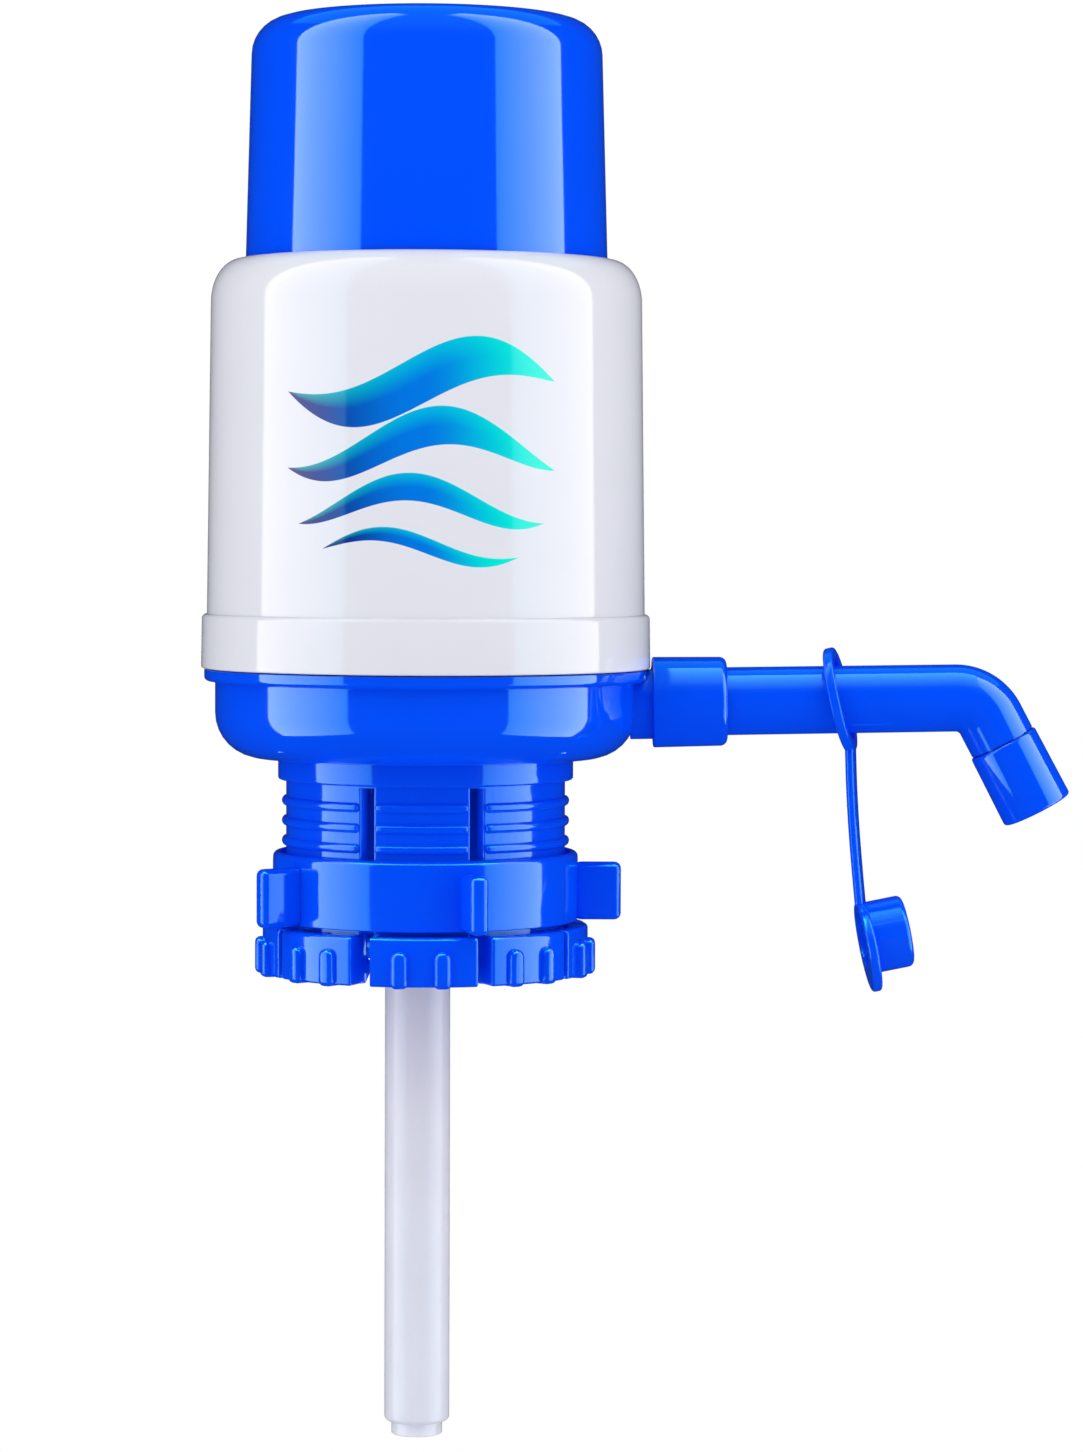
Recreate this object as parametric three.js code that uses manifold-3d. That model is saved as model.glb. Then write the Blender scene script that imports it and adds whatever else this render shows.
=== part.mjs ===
// Water jug hand pump, in millimetres, +Z up.
// The origin is the centre of the seat where the neck gasket rests on the mouth of the jug.
// The spout points along +X, and the front is -Y.

import * as THREE from 'three';
import { mergeVertices } from 'three/addons/utils/BufferGeometryUtils.js';
import Module from 'manifold-3d';

const wasm = await Module();
wasm.setup();

// Fits and working values
const fitGap = 0.3; // between pieces that touch or are pushed together
const seamGap = 0.25; // between the foot of the housing and the flange of the base
const capRunningGap = 0.6; // between the push cap and the mouth of the housing
const nutEndGap = 0.5; // between the spout nut and the skirt of the housing
const overrun = 2; // how far a cutter runs past what it cuts
const sink = 0.5; // how far a joined feature reaches into the wall that carries it
const mergeTolerance = 0.0001;

// Sides of round shapes
const bodySides = 36;
const collarSides = 24;
const tubeSides = 16;
const smallSides = 8;
const couplingSides = 20;
const bellowsSides = 16;

// Jug
const jugNeckRadius = 27.5; // the neck of a 19 litre jug is 55 mm across

// Neck gasket
const gasketThickness = 2;
const gasketBevel = 0.4;

// Neck collar: a disc, a ring and the fingers that close on the neck of the jug
const neckSlack = 1.5; // between the neck and the open fingers
const fingerWall = 2.1;
const fingerSets = 3; // each of one narrow finger and one wide finger
const narrowFingerAngle = 45; // degrees, between the middles of its gaps
const fingerGap = 3;
const fingerGapTop = 0.4; // solid collar left above each gap
const fingerLength = 32.3; // from the ring to the feet
const collarDiscThickness = 2.2;
const collarDiscLand = 3.2; // from the screws' circle to the bore of the disc
const collarRingStep = 1.8; // the ring stands out from the fingers
const collarRingDrop = 0.7; // the ring reaches below the seat
const collarRingBevel = 0.6;
const collarSeatDepth = 0.6; // how deep the collar sits in the underside of the base
const ridgeCount = 6;
const ridgePitch = 4.45;
const ridgeWidth = 1.7;
const ridgeHeight = 0.95;
const firstRidgeDrop = 4.3;
const gripBeadReach = 1.1;
const gripBeadHeight = 2;
const gripBeadSlope = 1;
const gripBeadRise = 2.7; // from the end of the finger to the bead
const footHeight = 10.7;
const footReach = 5.2;
const footCorner = 2.2;
const footBoreFlare = 0.4;
const footRibAngles = [-7.3, 7.3]; // degrees from the middle of a foot block
const footNotch = 1.4; // parts the foot of a wide finger in two blocks
const frontFootCut = 1.5; // more off the left side of the front foot
const footRibWidth = 3.7;
const footRibHeight = 8.2;
const footRibReach = 1.7;
const footRibDrop = 0.3; // the ribs end below the foot

// Lock nut
const nutHeight = 15.3;
const nutWall = 1.75;
const nutCorner = 1;
const nutLift = 1; // from the feet to the nut
const wingCount = 5;
const wingReach = 9.55;
const wingThickness = 4.05;
const wingHeight = 12.9;
const wingCorner = 1.3;
const wingStartAngle = 17.4; // degrees from the front to the first wing

// Base: the bowl, its flange and the rim that the housing snaps over
const bowlSetIn = 2.4; // from the flange to the bowl
const bowlHeight = 17;
const bowlCorner = 10;
const bowlWall = 2.9;
const bowlFloor = 2.4;
const flangeSetIn = 0.7; // from the skirt of the housing to the flange
const flangeThickness = 2.6;
const flangeCorner = 1.8;
const rimHeight = 9.4;
const rimWall = 2.2;
const snapReach = 0.6;
const snapHeight = 1.4;
const snapRise = 4.2; // from the flange to the snap bead
const pillarRadius = 3.2;
const pillarSetIn = 0.2; // from the wall of the bowl to the pillars
const airHoleRadius = 1.9;
const airHoleSetIn = 0.1; // from the bore of the collar's disc to the air holes
const airHoleAngles = [90, 180, 270]; // degrees

// Water way in the base
const tubeOffset = -1.7; // the dip tube stands beside the axis of the pump
const towerRadius = 11;
const ductRadius = 6.8;
const ductRoom = 1.63; // from the duct to the valve plate, on the axis of the pump
const ductBore = 4.5;
const towerBore = 5;
const socketDepth = 7.2; // from the floor recess to the end of the dip tube
const sealGrooveRise = 2.5;
const spoutRiseAngle = 1; // degrees above the horizontal

// Housing
const skirtRadius = 50;
const skirtNarrowing = 0.2;
const skirtHeight = 10.45;
const skirtWall = 2.5;
const skirtFootBevel = 0.5;
const skirtStepHeight = 1.6;
const wallSetIn = 1.3; // from the skirt to the wall
const wallNarrowing = 0.9;
const wallHeight = 68.9;
const shoulderHeight = 9.4;
const shoulderReach = 6.5;
const housingWall = 2.2;
const mouthLipThickness = 3.2;
const mouthBevel = 0.5;

// Push cap
const capNarrowing = 1.6;
const capCorner = 8;
const capProjection = 53.1;
const capWall = 2;
const capTopWall = 2.4;
const capLipBearing = 2.7; // the lip reaches past the mouth of the housing
const capLipThickness = 2;

// Pusher plate under the cap
const pusherThickness = 2.4;
const plugWall = 2.4;
const plugLength = 8;

// Bellows
const bellowsClearance = 2.6; // from the bellows to the inside of the cap
const bellowsFoldDepth = 6.5;
const bellowsWall = 1;
const bellowsFolds = 8;
const bellowsFlangeThickness = 1.6;
const bellowsFlangeSetIn = 0.6; // from the edge of the clamp ring to the flange

// Valve plate, clamp ring and their screws
const platePocketGap = 1; // the clamp ring's edge to the rim of the base
const plateThickness = 2.4;
const clampRingThickness = 2.8;
const clampRingClearance = 1.3; // from the bellows to the ring
const screwCount = 4;
const screwStartAngle = 45; // degrees
const clampScrewRadius = 1.6;
const clampScrewHeadRadius = 3;
const clampScrewHeadHeight = 2;
const clampScrewLength = 17.8;
const clampScrewEndRoom = 0.9; // left below the end of a screw
const collarScrewSetIn = 8.5; // from the bore of the fingers to the screws' circle
const collarScrewRadius = 1.5;
const collarScrewHeadRadius = 2.8;
const collarScrewHeadHeight = 2;
const collarScrewLength = 11;
const collarScrewEndRoom = 1.2; // left below the end of a screw
const collarBossWall = 1.1;
const headBevelShare = 0.3; // of the height of a screw head

// Valves: a rubber flap slides on a mushroom post under four ports
const flapRadius = 8;
const flapThickness = 1.2;
const flapLift = 1.5;
const postRadius = 1.6;
const postHeadRadius = 2.6;
const postHeadHeight = 1.2;
const portCount = 4;
const portRadius = 1.6;
const portCircle = 5;
const outletValveX = -22;

// Return spring
const springWire = 0.9; // radius of the wire
const springTurns = 11;
const springEndPitch = 2.4; // the end turns lie closer
const springBossWall = 2;
const springBossHeight = 4;
const springBossGap = 0.4;
const springBossRoom = 0.71; // from the flap to the boss round it
const springStepsPerTurn = 8;
const springWireSides = 5;

// Dip tube and its seal
const tubeRadius = 7.3;
const tubeWall = 1.6;
const tubeReach = 145; // below the seat, to the shoulder
const tubeShoulder = 1.2;
const spigotRadius = 5.7;
const spigotLength = 2.9;
const spigotWall = 1.2;
const tubeSealSection = 0.75; // radius

// Spout coupling, along the axis of the spout
const nutLength = 16.6;
const nutShellWall = 1.6; // of the spout nut, at its root
const nutShellNarrowing = 0.2;
const nutRootCorner = 0.5;
const nutTipCorner = 1.6;
const nutLip = 2;
const spoutSealSection = 0.7; // radius
const spoutSealSetIn = 1.6; // from the edge of the flange to the middle of the seal
const spoutFlangeThickness = 1.7;
const spoutFlangeReach = 0.8; // past the spout

// Spout
const spoutRadius = 7.4;
const spoutWall = 1.9;
const bendStart = 118; // from the axis of the pump
const bendRadius = 8.8;
const bendAngle = 63.2; // degrees
const bendSteps = 8;
const outletRun = 5.6; // from the bend to the tip
const outletSpigotStep = 0.9; // from the spout down to the spigot
const outletSpigotLength = 8;
const tipLength = 16.9;
const tipWall = 1.3; // round the spigot
const tipBevel = 0.7;
const tipBore = 5.9;

// Spout cap: loop, strap and cup in one soft moulding
const loopPlace = 92.4; // along the spout, from the axis of the pump
const loopYawAngle = -11; // degrees
const loopLeanAngle = -12; // degrees
const loopSlack = 0.9; // between the spout and the sides of the loop
const loopDrop = 2; // how much longer the hole is than it is wide
const loopBand = 2.5;
const loopThickness = 2.2;
const strapWidth = 6;
const strapThickness = 2;
const strapLength = 34.9; // from the loop to the disc
const strapDriftShares = [0, 0.09, 0.3, 0.62, 1]; // sideways, of the way to the disc
const strapSteps = 8;
const discRadius = 10.2;
const discThickness = 2.2;
const discOffset = 5.7; // the middle of the disc beside the middle of the loop
const discLeanAngle = -10.3; // degrees
const discYawAngle = 13.5; // degrees from the loop
const cupRise = 1.9; // of the cup's axis above the middle of the disc
const cupRadius = 8.05;
const cupLength = 8.2;
const cupBore = 6.6;
const cupEndWall = 1.5;
const cupCorner = 1.3;

// Heights that follow from the stack on the seat
const collarDiscUnderZ = gasketThickness + fitGap;
const collarDiscTopZ = collarDiscUnderZ + collarDiscThickness;
const floorRecessZ = collarDiscTopZ + fitGap;
const bowlUnderZ = floorRecessZ - collarSeatDepth;
const floorTopZ = floorRecessZ + bowlFloor;
const flangeUnderZ = bowlUnderZ + bowlHeight;
const flangeTopZ = flangeUnderZ + flangeThickness;
const rimTopZ = flangeTopZ + rimHeight;
const housingFootZ = flangeTopZ + seamGap;
const skirtTopZ = housingFootZ + skirtHeight;
const wallFootZ = skirtTopZ + skirtStepHeight;
const shoulderZ = wallFootZ + wallHeight;
const mouthZ = shoulderZ + shoulderHeight;
const capStopZ = mouthZ - mouthLipThickness;
const capTopZ = mouthZ + capProjection;
const capLipTopZ = capStopZ - fitGap;
const capLipUnderZ = capLipTopZ - capLipThickness;
const pusherTopZ = capTopZ - capTopWall - fitGap;
const pusherUnderZ = pusherTopZ - pusherThickness;
const plateUnderZ = flangeTopZ + fitGap;
const plateTopZ = plateUnderZ + plateThickness;
const bellowsFootZ = plateTopZ + fitGap;
const bellowsFlangeTopZ = bellowsFootZ + bellowsFlangeThickness;
const clampRingUnderZ = bellowsFlangeTopZ + fitGap;
const clampRingTopZ = clampRingUnderZ + clampRingThickness;
const ringUnderZ = -collarRingDrop;
const footTopZ = ringUnderZ - fingerLength;
const footUnderZ = footTopZ - footHeight;
const nutUnderZ = footTopZ + nutLift;
const tubeTopZ = floorRecessZ + socketDepth - fitGap;
const spoutAxisHeight = plateUnderZ - ductRoom - ductRadius;

// Radii of the collar and the nut, which follow from the neck of the jug
const fingerBore = jugNeckRadius + neckSlack;
const fingerRadius = fingerBore + fingerWall;
const collarRingRadius = fingerRadius + collarRingStep;
const footRadius = fingerRadius + footReach;
const ridgeRadius = fingerRadius + ridgeHeight;
const nutBore = ridgeRadius + fitGap;
const nutRadius = nutBore + nutWall;
const gasketRadius = fingerBore - fitGap;
const collarScrewCircle = fingerBore - collarScrewSetIn;
const collarDiscBore = collarScrewCircle - collarDiscLand;
const airHoleCircle = collarDiscBore - airHoleSetIn - airHoleRadius;
const collarBossRadius = collarScrewRadius + fitGap + collarBossWall;
const gasketBore = collarScrewCircle + collarBossRadius + fitGap;

// Radii of the body, which follow from the skirt of the housing
const flangeRadius = skirtRadius - flangeSetIn;
const bowlRadius = flangeRadius - bowlSetIn;
const bowlBore = bowlRadius - bowlWall;
const bowlUnderRadius = Math.max(bowlRadius - bowlCorner, collarRingRadius + 2 * fitGap);
const bowlRound = bowlRadius - bowlUnderRadius;
const rimRadius = skirtRadius - skirtWall - fitGap;
const rimBore = rimRadius - rimWall;
const snapRadius = rimRadius + snapReach;
const plateRadius = rimBore - fitGap;
const clampRingRadius = rimBore - platePocketGap;
const bellowsFlangeRadius = clampRingRadius - bellowsFlangeSetIn;
const clampScrewCircle = bowlBore - pillarSetIn - pillarRadius;
const wallFootRadius = skirtRadius - wallSetIn;
const wallTopRadius = wallFootRadius - wallNarrowing;
const shoulderTopRadius = wallTopRadius - shoulderReach;
const mouthRadius = shoulderTopRadius - mouthBevel;
const capFootRadius = mouthRadius - capRunningGap;
const capLipRadius = mouthRadius + capLipBearing;
const capStopRadius = capLipRadius + fitGap;
const capTopRadius = capFootRadius - capNarrowing;
const pusherRadius = capTopRadius - capCorner - fitGap;
const bellowsPeakRadius = capTopRadius - capWall - bellowsClearance;
const bellowsPeakBore = bellowsPeakRadius - bellowsWall;
const bellowsValleyRadius = bellowsPeakRadius - bellowsFoldDepth;
const bellowsValleyBore = bellowsValleyRadius - bellowsWall;
const clampRingBore = bellowsPeakRadius + clampRingClearance;
const plugRadius = bellowsValleyBore - fitGap;

// Radii of the small pieces
const tubeBore = tubeRadius - tubeWall;
const socketRadius = tubeRadius + fitGap;
const clampScrewHole = clampScrewRadius + fitGap;
const collarScrewHole = collarScrewRadius + fitGap;
const springBossRadius = flapRadius + springBossRoom + springBossWall;
// The spring's coil has flat steps, so its inside is narrower than its radius between them
const springInside = springBossRadius + springBossGap;
const springRadius = (springInside + springWire) / Math.cos(Math.PI / springStepsPerTurn);

// Radii of the spout and its coupling
const spoutBore = spoutRadius - spoutWall;
const spoutFlangeRadius = spoutRadius + spoutFlangeReach;
const spoutSealRadius = spoutFlangeRadius - spoutSealSetIn;
const nutShellBore = spoutFlangeRadius + fitGap;
const nutRootRadius = nutShellBore + nutShellWall;
const nutTipRadius = nutRootRadius - nutShellNarrowing;
const outletSpigotRadius = spoutRadius - outletSpigotStep;
const tipRadius = outletSpigotRadius + fitGap + tipWall;

// Places along the spout that follow from the stack in its nut
const spoutNutStart = skirtRadius + nutEndGap;
const spoutNutEnd = spoutNutStart + nutLength;
const spoutFlangeEnd = spoutNutEnd - nutLip - fitGap;
const spoutStart = spoutFlangeEnd - spoutFlangeThickness;
const spoutSealPlace = spoutStart - fitGap - spoutSealSection;
const stubEnd = spoutSealPlace - spoutSealSection - fitGap;

// Finishes
const bluePlastic = { color: 0x0050f0, roughness: 0.22, metalness: 0 };
const whitePlastic = { color: 0xf1f1f6, roughness: 0.25, metalness: 0 };
const hiddenPlastic = { color: 0xd8dce4, roughness: 0.45, metalness: 0 };
const blueSilicone = { color: 0x0a4be6, roughness: 0.4, metalness: 0 };
const clearPlastic = { color: 0xc9cbe0, roughness: 0.2, metalness: 0 };
const bellowsPlastic = { color: 0xe6e8ee, roughness: 0.5, metalness: 0 };
const darkRubber = { color: 0x26272b, roughness: 0.8, metalness: 0 };
const steel = { color: 0xb4b8be, roughness: 0.3, metalness: 1 };

const radians = THREE.MathUtils.degToRad;

// Closed solid of a geometry, with its faces pointing outwards
function solid(shape) {
  if (!shape.isBufferGeometry) return shape;
  const bare = shape.index ? shape.toNonIndexed() : shape.clone();
  bare.deleteAttribute('normal');
  bare.deleteAttribute('uv');
  const merged = mergeVertices(bare, mergeTolerance);
  const corners = merged.attributes.position;
  const [a, b, c] = [new THREE.Vector3(), new THREE.Vector3(), new THREE.Vector3()];
  const triangles = [];
  let volume = 0;
  for (let i = 0; i < merged.index.count; i += 3) {
    const [p, q, r] = [0, 1, 2].map((k) => merged.index.getX(i + k));
    if (p === q || q === r || r === p) continue;
    triangles.push(p, q, r);
    a.fromBufferAttribute(corners, p);
    b.fromBufferAttribute(corners, q);
    c.fromBufferAttribute(corners, r);
    volume += a.dot(b.cross(c));
  }
  if (volume < 0) triangles.reverse();
  const vertProperties = new Float32Array(corners.array);
  const triVerts = new Uint32Array(triangles);
  return new wasm.Manifold(new wasm.Mesh({ numProp: 3, vertProperties, triVerts }));
}

const join = (...shapes) => shapes.map(solid).reduce((whole, next) => whole.add(next));
const cut = (shape, ...tools) => tools.map(solid).reduce((left, tool) => left.subtract(tool), solid(shape));

function piece(name, shape, finish) {
  const { vertProperties, triVerts } = solid(shape).getMesh();
  const geometry = new THREE.BufferGeometry();
  geometry.setAttribute('position', new THREE.BufferAttribute(new Float32Array(vertProperties), 3));
  geometry.setIndex(new THREE.BufferAttribute(new Uint32Array(triVerts), 1));
  geometry.computeVertexNormals();
  const mesh = new THREE.Mesh(geometry, new THREE.MeshStandardMaterial(finish));
  mesh.name = name;
  return mesh;
}

// Round shape about Z from a profile of [radius, height] that starts and ends on the axis
function turned(profile, sides) {
  const points = profile.map(([radius, height]) => new THREE.Vector2(radius, height));
  return new THREE.LatheGeometry(points, sides).rotateX(Math.PI / 2);
}

// Round shape about Z from a closed profile beside the axis
const turnedRing = (profile, sides) => turned([...profile, profile[0]], sides);

const rod = (radius, low, high, sides) =>
  turned([[0, low], [radius, low], [radius, high], [0, high]], sides);

const sleeve = (bore, radius, low, high, sides) =>
  turnedRing([[bore, low], [radius, low], [radius, high], [bore, high]], sides);

// Turns a shape made about Z so that its axis lies along X
const alongX = (shape) => shape.rotateY(Math.PI / 2);

// Profile points on an oval or round arc about a middle point, with the angles in degrees
function oval(middleRadius, middleZ, across, up, from, to, steps) {
  return Array.from({ length: steps + 1 }, (_, i) => {
    const angle = radians(from + ((to - from) * i) / steps);
    return [middleRadius + across * Math.cos(angle), middleZ + up * Math.sin(angle)];
  });
}

const arc = (middleRadius, middleZ, radius, from, to, steps) =>
  oval(middleRadius, middleZ, radius, radius, from, to, steps);

const flatOutline = (points) => new THREE.Shape(points.map(([x, y]) => new THREE.Vector2(x, y)));

const extruded = (outline, depth) =>
  new THREE.ExtrudeGeometry(outline, { depth, bevelEnabled: false });

// Extrusions of an outline drawn upright: a slab centred on the outline's plane, or a block along X
const uprightSlab = (outline, thickness) =>
  extruded(outline, thickness).rotateX(Math.PI / 2).translate(0, thickness / 2, 0);
const uprightBlock = (outline, depth) =>
  extruded(outline, depth).rotateX(Math.PI / 2).rotateZ(Math.PI / 2);

// A shape at each of several angles about the axis of the pump, in degrees
const around = (angles, make) => angles.map((angle) => make().rotateZ(radians(angle)));
const evenAngles = (count, phase) => Array.from({ length: count }, (_, i) => phase + (360 * i) / count);

// Upright rods at several angles on a circle about the axis of the pump
const rodsAround = (angles, circleRadius, radius, low, high) =>
  around(angles, () => rod(radius, low, high, smallSides).translate(circleRadius, 0, 0));

const screwAngles = evenAngles(screwCount, screwStartAngle);

// A shape placed in the frame of the spout, whose X axis is the spout's
const inSpoutFrame = (shape) => shape.rotateY(-radians(spoutRiseAngle)).translate(0, 0, spoutAxisHeight);

// Screws
function screw({ radius, headRadius, headHeight, length }) {
  const bevel = headHeight * headBevelShare;
  const profile = [
    [0, -length],
    [radius, -length + radius],
    [radius, 0],
    [headRadius, 0],
    [headRadius, headHeight - bevel],
    [headRadius - bevel, headHeight],
    [0, headHeight],
  ];
  return turned(profile, smallSides);
}

// Valve post under a plate whose underside is at faceZ, and the ports round it
function valvePost(faceZ) {
  const flapUnderZ = faceZ - fitGap - flapThickness;
  const headTopZ = flapUnderZ - flapLift - fitGap;
  const headUnderZ = headTopZ - postHeadHeight;
  const profile = [
    [0, headUnderZ],
    [postRadius, headUnderZ],
    [postHeadRadius, headTopZ],
    [postRadius, headTopZ],
    [postRadius, faceZ + sink],
    [0, faceZ + sink],
  ];
  return turned(profile, smallSides);
}

const valvePorts = (lowZ, highZ) =>
  rodsAround(evenAngles(portCount, 0), portCircle, portRadius, lowZ - overrun, highZ + overrun);

const valveFlap = (faceZ) =>
  sleeve(postRadius + fitGap, flapRadius, faceZ - fitGap - flapThickness, faceZ - fitGap, tubeSides);

// Push cap
function pushCap() {
  const draftPerHeight = capNarrowing / (capProjection - capCorner);
  const lipWallRadius = capFootRadius + draftPerHeight * (mouthZ - capLipTopZ);
  const cornerZ = capTopZ - capCorner;
  const innerCorner = capCorner - capWall;
  const innerCornerZ = capTopZ - capTopWall - innerCorner;
  const profile = [
    [0, capTopZ],
    ...arc(capTopRadius - capCorner, cornerZ, capCorner, 90, 0, 4),
    [lipWallRadius, capLipTopZ],
    [capLipRadius, capLipTopZ],
    [capLipRadius, capLipUnderZ],
    [lipWallRadius - capWall, capLipUnderZ],
    ...arc(capTopRadius - capCorner, innerCornerZ, innerCorner, 0, 90, 2),
    [0, capTopZ - capTopWall],
  ];
  return turned(profile, bodySides);
}

// Plate under the cap, with the plug that holds the bellows, the spring boss and the intake ports
function pusherPlate() {
  const plate = join(
    rod(pusherRadius, pusherUnderZ, pusherTopZ, bodySides),
    sleeve(plugRadius - plugWall, plugRadius, pusherUnderZ - plugLength, pusherUnderZ + sink, bellowsSides),
    springBoss(pusherUnderZ - springBossHeight, pusherUnderZ + sink),
    valvePost(pusherUnderZ),
  );
  return cut(plate, ...valvePorts(pusherUnderZ, pusherTopZ));
}

function springBoss(lowZ, highZ) {
  return sleeve(springBossRadius - springBossWall, springBossRadius, lowZ, highZ, tubeSides);
}

// Bellows: a foot flange, the folds and the sleeve that grips the plug
function airBellows() {
  const sleeveFootZ = pusherUnderZ - plugLength;
  const sleeveTopZ = pusherUnderZ - fitGap;
  const pitch = (sleeveFootZ - bellowsFlangeTopZ) / bellowsFolds;
  const outside = [];
  const inside = [];
  for (let fold = 0; fold < bellowsFolds; fold += 1) {
    const foldZ = bellowsFlangeTopZ + pitch * fold;
    outside.push([bellowsValleyRadius, foldZ], [bellowsPeakRadius, foldZ + pitch / 2]);
    inside.unshift([bellowsPeakBore, foldZ + pitch / 2], [bellowsValleyBore, foldZ]);
  }
  const profile = [
    [bellowsValleyBore, bellowsFootZ],
    [bellowsFlangeRadius, bellowsFootZ],
    [bellowsFlangeRadius, bellowsFlangeTopZ],
    ...outside,
    [bellowsValleyRadius, sleeveFootZ],
    [bellowsValleyRadius, sleeveTopZ],
    [bellowsValleyBore, sleeveTopZ],
    [bellowsValleyBore, sleeveFootZ],
    ...inside,
  ];
  return cut(turnedRing(profile, bellowsSides), ...clampScrewHoles(bellowsFootZ, bellowsFlangeTopZ));
}

const clampScrewHoles = (lowZ, highZ) =>
  rodsAround(screwAngles, clampScrewCircle, clampScrewHole, lowZ - overrun, highZ + overrun);

function clampRing() {
  const ring = sleeve(clampRingBore, clampRingRadius, clampRingUnderZ, clampRingTopZ, bodySides);
  return cut(ring, ...clampScrewHoles(clampRingUnderZ, clampRingTopZ));
}

function valvePlate() {
  const plate = join(
    rod(plateRadius, plateUnderZ, plateTopZ, bodySides),
    springBoss(plateTopZ - sink, plateTopZ + springBossHeight),
    valvePost(plateUnderZ).translate(outletValveX, 0, 0),
  );
  const ports = valvePorts(plateUnderZ, plateTopZ).map((port) => port.translate(outletValveX, 0, 0));
  return cut(plate, ...ports, ...clampScrewHoles(plateUnderZ, plateTopZ));
}

// Return spring: closer turns at both ends, open turns between
class SpringPath extends THREE.Curve {
  getPoint(t, target = new THREE.Vector3()) {
    const footZ = plateTopZ + fitGap + springWire;
    const topZ = pusherUnderZ - fitGap - springWire;
    const openTurns = springTurns - 2;
    const openPitch = (topZ - footZ - 2 * springEndPitch) / openTurns;
    const turn = t * springTurns;
    const closedTurns = Math.min(turn, 1) + Math.max(turn - 1 - openTurns, 0);
    const z = footZ + springEndPitch * closedTurns + openPitch * (turn - closedTurns);
    const angle = 2 * Math.PI * turn;
    return target.set(springRadius * Math.cos(angle), springRadius * Math.sin(angle), z);
  }

  getUtoTmapping(u) {
    return u;
  }
}

// Least distance between the surfaces of a wound wire's turns, measured on points along it
function leastGap(points, stepsPerTurn, wireRadius) {
  let least = Infinity;
  points.forEach((point, i) => {
    points.slice(i + Math.ceil(stepsPerTurn / 2)).forEach((other) => {
      least = Math.min(least, point.distanceTo(other) - 2 * wireRadius);
    });
  });
  return least;
}

const circle = (radius, sides) => flatOutline(arc(0, 0, radius, 0, 360, sides).slice(1));

function returnSpring() {
  const steps = springTurns * springStepsPerTurn;
  const path = new SpringPath();
  const gap = leastGap(path.getSpacedPoints(steps), springStepsPerTurn, springWire);
  console.log(`Return spring, least gap to itself: ${gap.toFixed(2)} mm`);
  return new THREE.ExtrudeGeometry(circle(springWire, springWireSides), { steps, extrudePath: path });
}

// Housing: skirt, snap groove, wall, shoulder and the mouth that holds the cap's lip
function housingShell() {
  const grooveFootZ = flangeTopZ + snapRise - fitGap;
  const grooveTopZ = grooveFootZ + snapHeight + 2 * fitGap;
  const skirtBore = skirtRadius - skirtWall;
  const skirtTopRadius = skirtRadius - skirtNarrowing;
  const stepRound = skirtTopRadius - wallFootRadius;
  const stepInsideZ = rimTopZ + fitGap;
  const profile = [
    [skirtBore, housingFootZ],
    [skirtRadius - skirtFootBevel, housingFootZ],
    [skirtRadius, housingFootZ + skirtFootBevel],
    ...oval(wallFootRadius, skirtTopZ, stepRound, skirtStepHeight, 0, 90, 2),
    ...oval(shoulderTopRadius, shoulderZ, shoulderReach, shoulderHeight, 0, 90, 4),
    [mouthRadius, mouthZ - mouthBevel],
    [mouthRadius, capStopZ],
    [capStopRadius, capStopZ],
    [wallTopRadius - housingWall, shoulderZ],
    [wallFootRadius - housingWall, stepInsideZ],
    [skirtBore, stepInsideZ],
    [skirtBore, grooveTopZ],
    [snapRadius + fitGap, grooveTopZ],
    [snapRadius + fitGap, grooveFootZ],
    [skirtBore, grooveFootZ],
  ];
  return turnedRing(profile, bodySides);
}

// Base bowl with the collar recess, the dip tube socket, the water way and the spout stub
function baseShell() {
  const snapFootZ = flangeTopZ + snapRise;
  const innerRound = bowlRound - bowlWall;
  const profile = [
    [0, floorRecessZ],
    [collarRingRadius + fitGap, floorRecessZ],
    [collarRingRadius + fitGap, bowlUnderZ],
    ...arc(bowlUnderRadius, bowlUnderZ + bowlRound, bowlRound, -90, 0, 5),
    [bowlRadius, flangeUnderZ],
    ...arc(flangeRadius - flangeCorner, flangeUnderZ + flangeCorner, flangeCorner, -90, 0, 2),
    [flangeRadius, flangeTopZ],
    [rimRadius, flangeTopZ],
    [rimRadius, snapFootZ],
    [snapRadius, snapFootZ + snapHeight / 2],
    [rimRadius, snapFootZ + snapHeight],
    [rimRadius, rimTopZ],
    [rimBore, rimTopZ],
    [rimBore, flangeTopZ],
    [bowlBore, flangeTopZ],
    ...arc(bowlUnderRadius, floorTopZ + innerRound, innerRound, 0, -90, 2),
    [0, floorTopZ],
  ];
  return turned(profile, bodySides);
}

function spoutStub() {
  const stub = inSpoutFrame(alongX(rod(spoutFlangeRadius, bowlRadius - bowlWall / 2, stubEnd, tubeSides)));
  const clearOfSkirt = skirtRadius + fitGap;
  const trim = new THREE.BoxGeometry(clearOfSkirt, 2 * skirtRadius, skirtRadius);
  return cut(stub, trim.translate(clearOfSkirt / 2, 0, flangeTopZ + skirtRadius / 2));
}

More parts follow.
